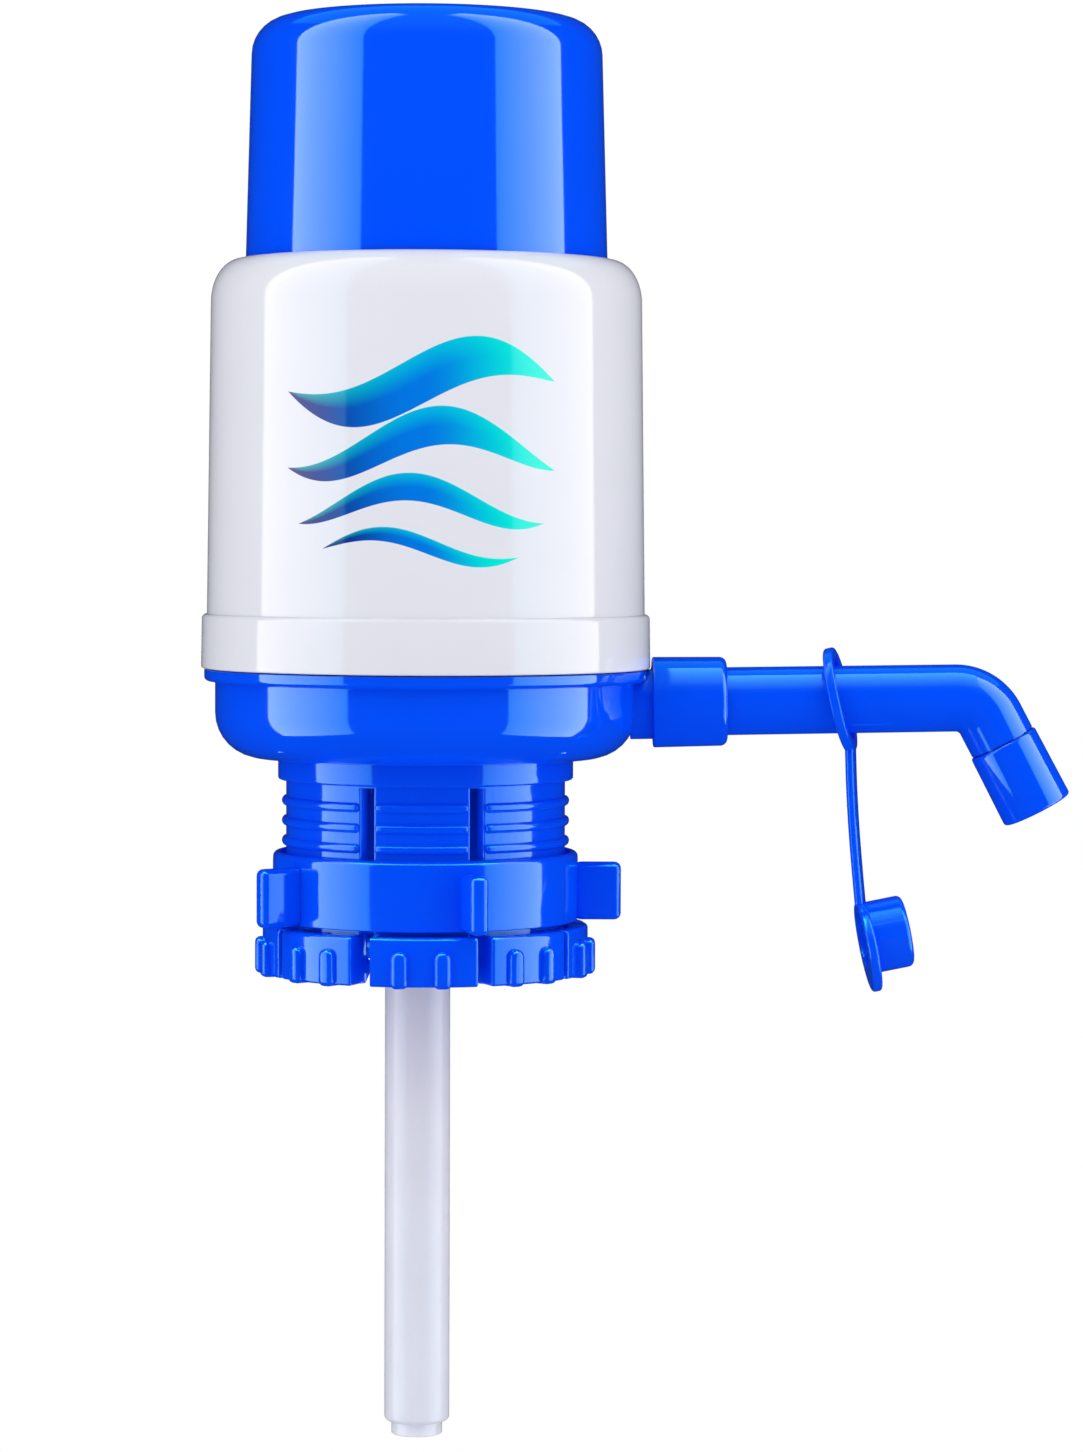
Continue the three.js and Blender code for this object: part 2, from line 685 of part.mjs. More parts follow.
function baseBowl() {
  const pillars = rodsAround(screwAngles, clampScrewCircle, pillarRadius, floorTopZ - sink, flangeTopZ);
  const towerTopZ = spoutAxisHeight + ductRadius;
  const tower = rod(towerRadius, floorTopZ - sink, towerTopZ, tubeSides).translate(tubeOffset, 0, 0);
  const duct = inSpoutFrame(alongX(rod(ductRadius, tubeOffset, bowlRadius - bowlWall / 2, tubeSides)));
  const body = join(baseShell(), ...pillars, tower, duct, spoutStub());

  const grooveRadius = tubeRadius + 2 * fitGap + 2 * tubeSealSection;
  const grooveFootZ = floorRecessZ + sealGrooveRise;
  const grooveTopZ = grooveFootZ + 2 * tubeSealSection + 2 * fitGap;
  const socketTopZ = floorRecessZ + socketDepth;
  const socket = turned([
    [0, bowlUnderZ - overrun],
    [socketRadius, bowlUnderZ - overrun],
    [socketRadius, grooveFootZ],
    [grooveRadius, grooveFootZ],
    [grooveRadius, grooveTopZ],
    [socketRadius, grooveTopZ],
    [socketRadius, socketTopZ],
    [towerBore, socketTopZ],
    [towerBore, spoutAxisHeight + ductBore],
    [0, spoutAxisHeight + ductBore],
  ], tubeSides).translate(tubeOffset, 0, 0);
  const waterWay = inSpoutFrame(alongX(rod(ductBore, tubeOffset, stubEnd + overrun, tubeSides)));
  const pillarFootZ = clampRingTopZ - clampScrewLength - clampScrewEndRoom;
  const [underZ, overZ] = [bowlUnderZ - overrun, floorTopZ + overrun];
  const pillarTopZ = flangeTopZ + overrun;
  const pillarHoles = rodsAround(screwAngles, clampScrewCircle, clampScrewHole, pillarFootZ, pillarTopZ);
  const collarHoles = rodsAround(screwAngles, collarScrewCircle, collarScrewHole, underZ, overZ);
  const airHoles = rodsAround(airHoleAngles, airHoleCircle, airHoleRadius, underZ, overZ);
  return cut(body, socket, waterWay, ...pillarHoles, ...collarHoles, ...airHoles);
}

// Neck collar: one moulding with three narrow and three wide ridged fingers
function fingerLayout() {
  const frontPhase = -90;
  const setAngle = 360 / fingerSets;
  const narrow = evenAngles(fingerSets, frontPhase);
  const wide = evenAngles(fingerSets, frontPhase + setAngle / 2);
  const toBlock = (setAngle - narrowFingerAngle) / 4;
  return {
    gaps: narrow.flatMap((middle) => [middle - narrowFingerAngle / 2, middle + narrowFingerAngle / 2]),
    notches: wide,
    blocks: [...narrow, ...wide.flatMap((middle) => [middle - toBlock, middle + toBlock])],
  };
}

function footRib() {
  const halfWidth = footRibWidth / 2;
  const straightTop = footRibHeight - halfWidth;
  const outline = flatOutline([
    [-halfWidth, 0],
    [halfWidth, 0],
    ...arc(0, straightTop, halfWidth, 0, 180, 4),
  ]);
  return uprightBlock(outline, footReach + footRibReach)
    .translate(fingerRadius, 0, footUnderZ - footRibDrop);
}

function neckCollar() {
  const ridges = [];
  for (let ridge = 0; ridge < ridgeCount; ridge += 1) {
    const ridgeZ = ringUnderZ - firstRidgeDrop - ridgePitch * ridge;
    ridges.unshift(
      [fingerRadius, ridgeZ - ridgeWidth / 2],
      [ridgeRadius, ridgeZ - ridgeWidth / 4],
      [ridgeRadius, ridgeZ + ridgeWidth / 4],
      [fingerRadius, ridgeZ + ridgeWidth / 2],
    );
  }
  const beadFootZ = footUnderZ + gripBeadRise;
  const beadTopZ = beadFootZ + gripBeadHeight;
  const profile = [
    [collarDiscBore, collarDiscTopZ],
    [collarDiscBore, collarDiscUnderZ],
    [fingerBore, collarDiscUnderZ],
    [fingerBore, beadTopZ + gripBeadSlope],
    [fingerBore - gripBeadReach, beadTopZ],
    [fingerBore - gripBeadReach, beadFootZ],
    [fingerBore + footBoreFlare, footUnderZ],
    [footRadius, footUnderZ],
    ...arc(footRadius - footCorner, footTopZ - footCorner, footCorner, 0, 90, 2),
    [fingerRadius, footTopZ],
    ...ridges,
    [fingerRadius, ringUnderZ],
    [collarRingRadius - collarRingBevel, ringUnderZ],
    [collarRingRadius, ringUnderZ + collarRingBevel],
    [collarRingRadius, collarDiscTopZ],
  ];
  const bossUnderZ = floorTopZ - collarScrewLength - collarScrewEndRoom;
  const bossTopZ = collarDiscUnderZ + sink;
  const bosses = rodsAround(screwAngles, collarScrewCircle, collarBossRadius, bossUnderZ, bossTopZ);
  const layout = fingerLayout();
  const footRibs = layout.blocks.flatMap((block) =>
    around(footRibAngles.map((angle) => block + angle), footRib));

  const gapLength = footRadius + footRibReach + overrun - jugNeckRadius / 2;
  const gapTopZ = ringUnderZ - fingerGapTop;
  const gapUnderZ = footUnderZ - overrun;
  const gaps = around(layout.gaps, () =>
    new THREE.BoxGeometry(gapLength, fingerGap, gapTopZ - gapUnderZ)
      .translate(jugNeckRadius / 2 + gapLength / 2, 0, (gapTopZ + gapUnderZ) / 2));
  const notchLength = footReach + overrun;
  const notchTopZ = footTopZ + overrun;
  const notches = around(layout.notches, () =>
    new THREE.BoxGeometry(notchLength, footNotch, notchTopZ - gapUnderZ)
      .translate(fingerRadius + notchLength / 2, 0, (notchTopZ + gapUnderZ) / 2));
  const leftOfFront = -90 - narrowFingerAngle / 2;
  const frontCutWidth = fingerGap / 2 + frontFootCut;
  const frontCut = around([leftOfFront], () =>
    new THREE.BoxGeometry(notchLength, frontCutWidth, notchTopZ - gapUnderZ)
      .translate(fingerRadius + notchLength / 2, frontCutWidth / 2, (notchTopZ + gapUnderZ) / 2));
  const holeFootZ = bossUnderZ + collarBossWall;
  const holeTopZ = collarDiscTopZ + overrun;
  const screwHoles = rodsAround(screwAngles, collarScrewCircle, collarScrewHole, holeFootZ, holeTopZ);
  const cutters = [...gaps, ...notches, ...frontCut, ...screwHoles];
  return cut(join(turnedRing(profile, collarSides), ...bosses, ...footRibs), ...cutters);
}

function neckGasket() {
  const profile = [
    [gasketBore, gasketBevel],
    [gasketBore + gasketBevel, 0],
    [gasketRadius - gasketBevel, 0],
    [gasketRadius, gasketBevel],
    [gasketRadius, gasketThickness],
    [gasketBore, gasketThickness],
  ];
  return turnedRing(profile, collarSides);
}

// Lock nut with its wings
function lockNut() {
  const nutTopZ = nutUnderZ + nutHeight;
  const ring = turnedRing([
    [nutBore, nutUnderZ],
    [nutRadius, nutUnderZ],
    ...arc(nutRadius - nutCorner, nutTopZ - nutCorner, nutCorner, 0, 90, 2),
    [nutBore, nutTopZ],
  ], collarSides);
  const wingRoot = nutRadius - nutWall / 2;
  const wingTip = nutRadius + wingReach;
  const wingTopZ = nutUnderZ + wingHeight;
  const tipMiddle = wingTip - wingCorner;
  const outline = flatOutline([
    [wingRoot, nutUnderZ],
    ...arc(tipMiddle, nutUnderZ + wingCorner, wingCorner, -90, 0, 2),
    ...arc(tipMiddle, wingTopZ - wingCorner, wingCorner, 0, 90, 2),
    [wingRoot, wingTopZ],
  ]);
  const front = -90;
  const wingAngles = evenAngles(wingCount, front + wingStartAngle);
  const wings = around(wingAngles, () => uprightSlab(outline, wingThickness));
  return join(ring, ...wings);
}

// Dip tube with its spigot, and the ring that seals it in the base
function dipTube() {
  const profile = [
    [tubeBore, tubeTopZ],
    [tubeRadius, tubeTopZ],
    ...arc(tubeRadius - tubeShoulder, tubeShoulder - tubeReach, tubeShoulder, 0, -90, 3),
    [spigotRadius, -tubeReach],
    [spigotRadius, -tubeReach - spigotLength],
    [spigotRadius - spigotWall, -tubeReach - spigotLength],
    [spigotRadius - spigotWall, -tubeReach + tubeWall],
    [tubeBore, -tubeReach + tubeWall],
  ];
  return turnedRing(profile, tubeSides).translate(tubeOffset, 0, 0);
}

const roundSeal = (radius, z, section) =>
  turnedRing(arc(radius, z, section, 0, 360, 6).slice(1), tubeSides);

function tubeSeal() {
  const radius = tubeRadius + fitGap + tubeSealSection;
  const z = floorRecessZ + sealGrooveRise + fitGap + tubeSealSection;
  return roundSeal(radius, z, tubeSealSection).translate(tubeOffset, 0, 0);
}

// Spout nut, drawn along the axis of the spout
function spoutNut() {
  const lipZ = spoutNutEnd - nutLip;
  const profile = [
    [nutShellBore, spoutNutStart],
    ...arc(nutRootRadius - nutRootCorner, spoutNutStart + nutRootCorner, nutRootCorner, -90, 0, 2),
    ...arc(nutTipRadius - nutTipCorner, spoutNutEnd - nutTipCorner, nutTipCorner, 0, 90, 3),
    [spoutRadius + fitGap, spoutNutEnd],
    [spoutRadius + fitGap, lipZ],
    [nutShellBore, lipZ],
  ];
  return alongX(turnedRing(profile, couplingSides));
}

const spoutSeal = () => alongX(roundSeal(spoutSealRadius, spoutSealPlace, spoutSealSection));

// Path of the spout from its flange, round the bend to a point past the end of the bend
class SpoutPath extends THREE.Curve {
  constructor(start, pastBend) {
    super();
    this.start = start;
    this.pastBend = pastBend;
  }

  getPoint(t, target = new THREE.Vector3()) {
    const step = t * (bendSteps + 2);
    if (step <= 1) return target.set(this.start + (bendStart - this.start) * step, 0, 0);
    const turned = radians(bendAngle) * Math.min((step - 1) / bendSteps, 1);
    const onward = this.pastBend * Math.max(step - 1 - bendSteps, 0);
    const x = bendStart + bendRadius * Math.sin(turned) + onward * Math.cos(turned);
    const z = bendRadius * (Math.cos(turned) - 1) - onward * Math.sin(turned);
    return target.set(x, 0, z);
  }

  getUtoTmapping(u) {
    return u;
  }
}

const sweptRod = (radius, start, pastBend) =>
  new THREE.ExtrudeGeometry(circle(radius, tubeSides), {
    steps: bendSteps + 2,
    extrudePath: new SpoutPath(start, pastBend),
  });

// A shape made about X at the end of the spout's outlet run, in the frame of the spout
const tipPoint = new SpoutPath(spoutStart, outletRun).getPoint(1);
const atTip = (shape) => shape.rotateY(radians(bendAngle)).translate(tipPoint.x, tipPoint.y, tipPoint.z);

function spoutElbow() {
  const flange = alongX(rod(spoutFlangeRadius, spoutStart, spoutFlangeEnd, tubeSides));
  const spigot = atTip(alongX(rod(outletSpigotRadius, -outletRun / 2, outletSpigotLength, tubeSides)));
  const body = join(sweptRod(spoutRadius, spoutStart, outletRun), flange, spigot);
  return cut(body, sweptRod(spoutBore, spoutStart - overrun, outletRun + outletSpigotLength + overrun));
}

// Tip pushed over the outlet spigot, drawn from its upper face
function spoutTip() {
  const shelf = outletSpigotLength + fitGap;
  const lowEnd = fitGap + tipLength;
  const profile = [
    [outletSpigotRadius + fitGap, fitGap],
    ...arc(tipRadius - tipBevel, fitGap + tipBevel, tipBevel, -90, 0, 2),
    ...arc(tipRadius - tipBevel, lowEnd - tipBevel, tipBevel, 0, 90, 2),
    [tipBore, lowEnd],
    [tipBore, shelf],
    [outletSpigotRadius + fitGap, shelf],
  ];
  return atTip(alongX(turnedRing(profile, tubeSides)));
}

// Spout cap: the loop round the spout, the strap and the cup
function stadium(halfWidth, drop) {
  return [
    ...arc(0, drop / 2, halfWidth, 0, 180, 8),
    ...arc(0, -drop / 2, halfWidth, 180, 360, 8),
  ];
}

function capLoop() {
  const holeHalfWidth = spoutRadius + loopSlack;
  const outline = flatOutline(stadium(holeHalfWidth + loopBand, loopDrop));
  const hole = flatOutline(stadium(holeHalfWidth, loopDrop));
  const band = uprightBlock(outline, loopThickness);
  const cutter = uprightBlock(hole, loopThickness + 2 * overrun).translate(-overrun, 0, 0);
  return [band, cutter].map((shape) =>
    shape.translate(-loopThickness / 2, 0, 0).rotateY(radians(loopLeanAngle)));
}

function capStrap(top, foot) {
  const drift = foot.x - top.x;
  const fall = foot.y - top.y;
  const lastShare = strapDriftShares.length - 1;
  const middle = new THREE.SplineCurve(
    strapDriftShares.map((share, i) =>
      new THREE.Vector2(top.x + drift * share, top.y + (fall * i) / lastShare)),
  );
  const points = middle.getPoints(strapSteps);
  const side = (offset) => points.map((point) => [point.x + offset, point.y]);
  const outline = flatOutline([...side(-strapThickness / 2), ...side(strapThickness / 2).reverse()]);
  return uprightSlab(outline, strapWidth);
}

function capDisc(place) {
  const cupEnd = discThickness / 2 + cupLength;
  const profile = [
    [0, 0],
    [cupRadius, 0],
    ...arc(cupRadius - cupCorner, cupEnd - cupCorner, cupCorner, 0, 90, 2),
    [0, cupEnd],
  ];
  const disc = alongX(rod(discRadius, -discThickness / 2, discThickness / 2, couplingSides));
  const cup = alongX(turned(profile, couplingSides)).translate(0, 0, cupRise);
  const hollow = alongX(rod(cupBore, -discThickness / 2 - overrun, cupEnd - cupEndWall, couplingSides))
    .translate(0, 0, cupRise);
  return [disc, cup, hollow].map((shape) => shape
    .rotateY(radians(discLeanAngle))
    .rotateZ(radians(discYawAngle))
    .translate(place.x, 0, place.y));
}

function spoutCap() {
  const loopReach = spoutRadius + loopSlack + loopDrop / 2;
  const lean = -radians(loopLeanAngle);
  const strapTopReach = loopReach + loopBand / 2;
  const strapTop = new THREE.Vector2(strapTopReach * Math.sin(lean), -strapTopReach * Math.cos(lean));
  const tilt = -radians(discLeanAngle);
  const discTop = new THREE.Vector2(discOffset - discRadius * Math.sin(tilt), strapTop.y - strapLength);
  const discMiddle = new THREE.Vector2(discOffset, discTop.y - discRadius * Math.cos(tilt));
  const strapFoot = discTop.clone().lerp(discMiddle, (discRadius - cupRadius) / (2 * discRadius));
  const [band, loopHole] = capLoop();
  const [disc, cup, hollow] = capDisc(discMiddle);
  return cut(join(band, capStrap(strapTop, strapFoot), disc, cup), loopHole, hollow);
}

// The whole pump
const pump = new THREE.Group();
pump.add(
  piece('push_cap', pushCap(), bluePlastic),
  piece('pusher_plate', pusherPlate(), hiddenPlastic),
  piece('intake_valve_flap', valveFlap(pusherUnderZ), darkRubber),
  piece('air_bellows', airBellows(), bellowsPlastic),
  piece('return_spring', returnSpring(), steel),
  piece('bellows_clamp_ring', clampRing(), hiddenPlastic),
  piece('valve_plate', valvePlate(), hiddenPlastic),
  piece('outlet_valve_flap', valveFlap(plateUnderZ).translate(outletValveX, 0, 0), darkRubber),
  piece('housing_shell', housingShell(), whitePlastic),
  piece('base_bowl', baseBowl(), bluePlastic),
  piece('neck_collar', neckCollar(), bluePlastic),
  piece('neck_gasket', neckGasket(), darkRubber),
  piece('lock_nut', lockNut(), bluePlastic),
  piece('dip_tube', dipTube(), clearPlastic),
  piece('tube_seal', tubeSeal(), darkRubber),
);

const clampScrewSizes = {
  radius: clampScrewRadius,
  headRadius: clampScrewHeadRadius,
  headHeight: clampScrewHeadHeight,
  length: clampScrewLength,
};
const collarScrewSizes = {
  radius: collarScrewRadius,
  headRadius: collarScrewHeadRadius,
  headHeight: collarScrewHeadHeight,
  length: collarScrewLength,
};

screwAngles.forEach((angle, i) => {
  const clampScrew = screw(clampScrewSizes).translate(clampScrewCircle, 0, clampRingTopZ + fitGap);
  const collarScrew = screw(collarScrewSizes).translate(collarScrewCircle, 0, floorTopZ + fitGap);
  pump.add(piece(`clamp_screw_${i + 1}`, clampScrew.rotateZ(radians(angle)), steel));
  pump.add(piece(`collar_screw_${i + 1}`, collarScrew.rotateZ(radians(angle)), steel));
});

// The spout and its coupling lie in a group on the axis of the spout
const spoutGroup = new THREE.Group();
spoutGroup.position.z = spoutAxisHeight;
spoutGroup.rotation.y = -radians(spoutRiseAngle);
spoutGroup.add(
  piece('spout_nut', spoutNut(), bluePlastic),
  piece('spout_seal', spoutSeal(), darkRubber),
  piece('spout_elbow', spoutElbow(), bluePlastic),
  piece('spout_tip', spoutTip(), bluePlastic),
);

// The spout cap hangs from its loop, turned a little about the vertical
const capGroup = new THREE.Group();
capGroup.position.x = loopPlace;
capGroup.rotation.z = radians(loopYawAngle);
capGroup.add(piece('spout_cap', spoutCap(), blueSilicone));
spoutGroup.add(capGroup);
pump.add(spoutGroup);

export default pump;
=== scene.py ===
"""The looks of a water jug hand pump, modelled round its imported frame.

The spout points along +X and the front is -Y. The origin is the seat of the neck gasket on the jug's mouth.
"""

from math import cos, pi, radians, sin, tan

import bpy
from bpy.props import FloatProperty, FloatVectorProperty, IntProperty, PointerProperty
from mathutils import Matrix, Vector


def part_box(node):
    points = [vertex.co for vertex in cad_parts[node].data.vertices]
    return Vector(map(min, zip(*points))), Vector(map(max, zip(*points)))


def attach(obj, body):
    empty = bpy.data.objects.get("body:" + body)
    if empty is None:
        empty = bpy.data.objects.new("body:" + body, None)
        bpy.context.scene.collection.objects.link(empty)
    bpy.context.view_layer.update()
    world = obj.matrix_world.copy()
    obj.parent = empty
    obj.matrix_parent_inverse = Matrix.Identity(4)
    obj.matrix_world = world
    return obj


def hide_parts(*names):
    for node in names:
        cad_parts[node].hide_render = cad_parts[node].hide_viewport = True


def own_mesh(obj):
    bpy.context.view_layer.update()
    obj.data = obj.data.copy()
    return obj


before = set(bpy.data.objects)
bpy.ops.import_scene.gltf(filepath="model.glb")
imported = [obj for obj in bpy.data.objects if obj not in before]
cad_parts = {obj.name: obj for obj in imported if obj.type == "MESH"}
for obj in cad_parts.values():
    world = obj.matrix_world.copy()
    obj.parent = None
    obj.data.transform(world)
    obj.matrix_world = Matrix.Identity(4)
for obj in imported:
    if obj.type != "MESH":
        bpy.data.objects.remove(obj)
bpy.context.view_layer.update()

bl_info = {
    "name": "Water jug hand pump",
    "version": (1, 0, 0),
    "blender": (4, 5, 0),
    "location": "View3D > Sidebar > Hand pump",
    "description": "Models a press pump for a water jug, piece by piece",
    "category": "Add Mesh",
}

MM = 0.001
FULL_TURN = 2 * pi
MERGE_DISTANCE = 0.002 * MM
SMOOTH_ANGLE = radians(32)
ARC_STEP = radians(11)  # the most that an outline turns between two points
BODY_STEPS = 192  # steps of a full turn, of the large pieces first
COLLAR_STEPS = 96
PIPE_STEPS = 96
SMALL_STEPS = 64
SCREW_STEPS = 40
SEAL_STEPS = 24  # round the section of a seal
OVERLAP = 0.5 * MM  # how far a joined feature reaches into what carries it
OVERRUN = 3 * MM  # how far a cutter runs past what it cuts
CLEARANCE = 0.3 * MM  # left between neighbours
FINE_EDGE = 0.2 * MM  # rounding of edges that hardly show
EDGE = 0.3 * MM  # rounding of plain edges
BROAD_EDGE = 0.4 * MM  # rounding of edges that show


def low_z(node):
    """Height of a node's lowest point."""
    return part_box(node)[0].z


def high_z(node):
    """Height of a node's highest point."""
    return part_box(node)[1].z


# Heights that the pieces share, from the frame
CAP_TOP = high_z("push_cap")
CAP_FOOT = low_z("push_cap")
MOUTH = high_z("housing_shell")
HOUSING_FOOT = low_z("housing_shell")
BASE_FOOT = low_z("base_bowl")
COLLAR_FOOT = low_z("neck_collar")
NUT_FOOT = low_z("lock_nut")
NUT_TOP = high_z("lock_nut")
PLATE_UNDER = 24.1 * MM
PLATE_TOP = 26.5 * MM
RING_UNDER = low_z("bellows_clamp_ring")
RING_TOP = high_z("bellows_clamp_ring")
PUSHER_TOP = high_z("pusher_plate")
TUBE_X = (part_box("dip_tube")[0].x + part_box("dip_tube")[1].x) / 2

# The spout's own frame: X runs along the spout
SPOUT_HEIGHT = 15.67 * MM  # where its line meets the axis of the pump
SPOUT_RISE = radians(1)
SPOUT_FRAME = Matrix.Translation((0, 0, SPOUT_HEIGHT)) @ Matrix.Rotation(-SPOUT_RISE, 4, "Y")
ALONG_X = Matrix.Rotation(radians(90), 4, "Y")
QUARTER_ABOUT_Z = Matrix.Rotation(radians(90), 4, "Z")
FRONT = -pi / 2  # angle of the front about Z

# Places and holes of the screws
SCREW_ANGLES = [radians(45 + 90 * quarter) for quarter in range(4)]
COLLAR_SCREW_CIRCLE = 20.5 * MM
COLLAR_HOLE_RADIUS = 1.8 * MM
CLAMP_HOLE_RADIUS = 1.9 * MM


def length(name, description, millimetres):
    """A size for the panel, whose default is given in millimetres."""
    default = millimetres * MM
    return FloatProperty(name=name, description=description, default=default, unit="LENGTH", precision=5)


def angle_size(name, description, degrees):
    """An angle for the panel, whose default is given in degrees."""
    return FloatProperty(name=name, description=description, default=radians(degrees), subtype="ANGLE")


def number(name, description, default):
    """A plain number for the panel."""
    return FloatProperty(name=name, description=description, default=default)


def count(name, description, default):
    """A number of like features for the panel."""
    return IntProperty(name=name, description=description, default=default, min=1)


def linear(level):
    """A colour level from 0 to 255 as light."""
    share = level / 255
    return share / 12.92 if share < 0.04045 else ((share + 0.055) / 1.055) ** 2.4


def colour(name, description, red, green, blue):
    """A colour for the panel, whose default is given in levels from 0 to 255."""
    return FloatVectorProperty(
        name=name,
        description=description,
        subtype="COLOR",
        size=3,
        min=0,
        max=1,
        default=(linear(red), linear(green), linear(blue)),
    )


class CapSizes(bpy.types.PropertyGroup):
    """Sizes of the push cap."""

    top_radius: length("Top radius", "Radius of the cap under its rounded top edge", 38.6)
    mouth_radius: length("Radius at the mouth", "Radius of the cap where it enters the housing", 40.2)
    corner: length("Top corner", "Rounding of the top edge", 8)
    wall: length("Wall", "Thickness of the side wall", 2)
    top_wall: length("Top wall", "Thickness of the top", 2.4)
    lip_radius: length("Lip radius", "Radius of the lip inside the housing", 43.5)
    lip_thickness: length("Lip", "Thickness of the lip", 2)
    gate_radius: length("Gate mark", "Radius of the dimple that the mould's gate leaves", 3)
    gate_depth: length("Gate depth", "Depth of that dimple", 0.35)


class HousingSizes(bpy.types.PropertyGroup):
    """Sizes of the housing shell."""

    skirt_radius: length("Skirt radius", "Radius of the skirt at its foot", 50)
    skirt_top_radius: length("Skirt top radius", "Radius of the skirt under its step", 49.8)
    skirt_height: length("Skirt height", "Height of the skirt up to the wall", 12.05)
    step_round: length("Step", "Rounding of the top of the skirt", 1.05)
    wall_radius: length("Wall foot radius", "Radius of the wall above the skirt", 48.7)
    wall_top_radius: length("Wall top radius", "Radius of the wall under the shoulder", 47.8)
    wall: length("Wall", "Thickness of the wall", 2.2)
    shoulder_height: length("Shoulder height", "Height of the shoulder", 9.4)
    shoulder_reach: length("Shoulder reach", "Width of the shoulder", 6.5)
    mouth_bevel: length("Mouth bevel", "Rounding of the edge round the cap", 0.5)
    lip_thickness: length("Mouth lip", "Thickness of the ledge that stops the cap's lip", 3.2)
    lip_room: length("Room for the lip", "Radius inside the ledge", 43.8)


class BaseSizes(bpy.types.PropertyGroup):
    """Sizes of the base bowl with its flange, rim and water way."""

    bowl_radius: length("Bowl radius", "Radius of the bowl", 46.9)
    bowl_corner: length("Bowl corner", "Rounding of the bowl's lower edge", 10)
    wall: length("Wall", "Thickness of the bowl", 2.9)
    floor: length("Floor", "Thickness of the floor", 2.4)
    flange_radius: length("Flange radius", "Radius of the flange under the housing", 49.3)
    flange_thickness: length("Flange", "Thickness of the flange", 2.6)
    flange_corner: length("Flange corner", "Rounding of the flange's lower edge", 1)
    rim_radius: length("Rim radius", "Radius of the rim inside the housing", 47.2)
    rim_bore: length("Rim bore", "Radius inside the rim", 45)
    rim_height: length("Rim height", "Height of the rim above the flange", 9.4)
    snap_reach: length("Snap bead", "How far the bead stands out", 0.6)
    recess_radius: length("Recess radius", "Radius of the recess that holds the collar", 33.2)
    recess_depth: length("Recess depth", "Depth of that recess", 0.6)
    pillar_radius: length("Pillar radius", "Radius of the pillars for the clamp screws", 3.2)
    pillar_circle: length("Pillar circle", "Distance of the pillars from the axis", 40.6)
    tower_radius: length("Tower radius", "Radius of the tower over the dip tube", 11)
    duct_radius: length("Duct radius", "Radius of the duct from the tower to the wall", 6.8)
    duct_bore: length("Duct bore", "Radius of the water way", 4.5)
    stub_radius: length("Stub radius", "Radius of the stub inside the spout nut", 8.2)
    stub_end: length("Stub end", "Where the stub ends, along the spout", 61.1)
    air_hole: length("Air hole", "Radius of the holes that lead the air to the jug", 1.9)
    air_circle: length("Air hole circle", "Distance of those holes from the axis", 15.3)


class CollarSizes(bpy.types.PropertyGroup):
    """Sizes of the neck collar and its gasket."""

    finger_sets: count("Finger sets", "Number of sets of one narrow finger and one wide finger", 3)
    narrow_angle: angle_size("Narrow finger", "From gap to gap beside a narrow finger", 45)
    ridges: count("Ridges", "Number of ridges on each finger", 6)
    ring_radius: length("Ring radius", "Radius of the ring above the fingers", 32.9)
    ring_bevel: length("Ring bevel", "Rounding of the ring's lower edge", 0.6)
    disc_bore: length("Disc bore", "Radius of the opening in the disc", 17.3)
    bore: length("Bore", "Radius inside the fingers", 29)
    finger_radius: length("Finger radius", "Radius outside the fingers", 31.1)
    gap: length("Gap", "Width of the gaps between the fingers, at their outside", 3.3)
    gap_slant: angle_size("Gap slant", "How much the gaps close inwards", 22)
    foot_gap: length("Foot gap", "Width of the gaps between the feet", 3)
    foot_notch: length("Foot notch", "Width of the notch in the foot of a wide finger", 1.4)
    front_cut: length("Front foot cut", "How much more is off the left side of the front foot", 1.5)
    ridge_width: length("Ridge width", "Height of one ridge along the finger", 2.15)
    ridge_reach: length("Ridge reach", "How far a ridge stands out", 0.95)
    ridge_pitch: length("Ridge pitch", "Distance from ridge to ridge", 4.45)
    first_ridge: length("First ridge", "From the ring to the first ridge", 4.3)
    ridge_margin: length("Ridge margin", "Flat finger left beside the end of a ridge", 0.3)
    foot_radius: length("Foot radius", "Radius of the feet", 36.3)
    foot_height: length("Foot height", "Height of the feet", 10.7)
    foot_corner: length("Foot corner", "Rounding of the upper edge of the feet", 0.9)
    foot_edge: length("Foot edge", "Rounding of the other edges of the feet", 0.6)
    bead_radius: length("Grip bead", "Radius inside the bead that grips the neck", 27.9)
    rib_width: length("Rib width", "Width of the ribs on the feet", 3.7)
    rib_height: length("Rib height", "Height of the ribs", 8.2)
    rib_reach: length("Rib reach", "How far the ribs stand out from the feet", 1.7)
    rib_drop: length("Rib drop", "How far the ribs end below the feet", 0.3)
    rib_edge: length("Rib edge", "Rounding of the ribs' upright edges", 1.2)
    rib_angle: angle_size("Rib angle", "From the middle of a foot to a rib", 7.3)
    edge: length("Edge", "Rounding of the fingers' edges", 0.28)


class NutSizes(bpy.types.PropertyGroup):
    """Sizes of the winged lock nut."""

    bore: length("Bore", "Radius inside the nut", 32.35)
    radius: length("Radius", "Radius of the nut at mid-height", 34.1)
    taper: length("Taper", "How much the nut narrows to its lower and upper edge", 0.12)
    corner: length("Corner", "Rounding of the upper edge", 1.2)
    wings: count("Wings", "Number of wings", 5)
    wing_reach: length("Wing reach", "Radius at the tips of the wings", 43.65)
    wing_thickness: length("Wing thickness", "Thickness of a wing", 4.05)
    wing_height: length("Wing height", "Height of a wing", 12.9)
    wing_edge: length("Wing edge", "Rounding of the wings' edges", 1.5)


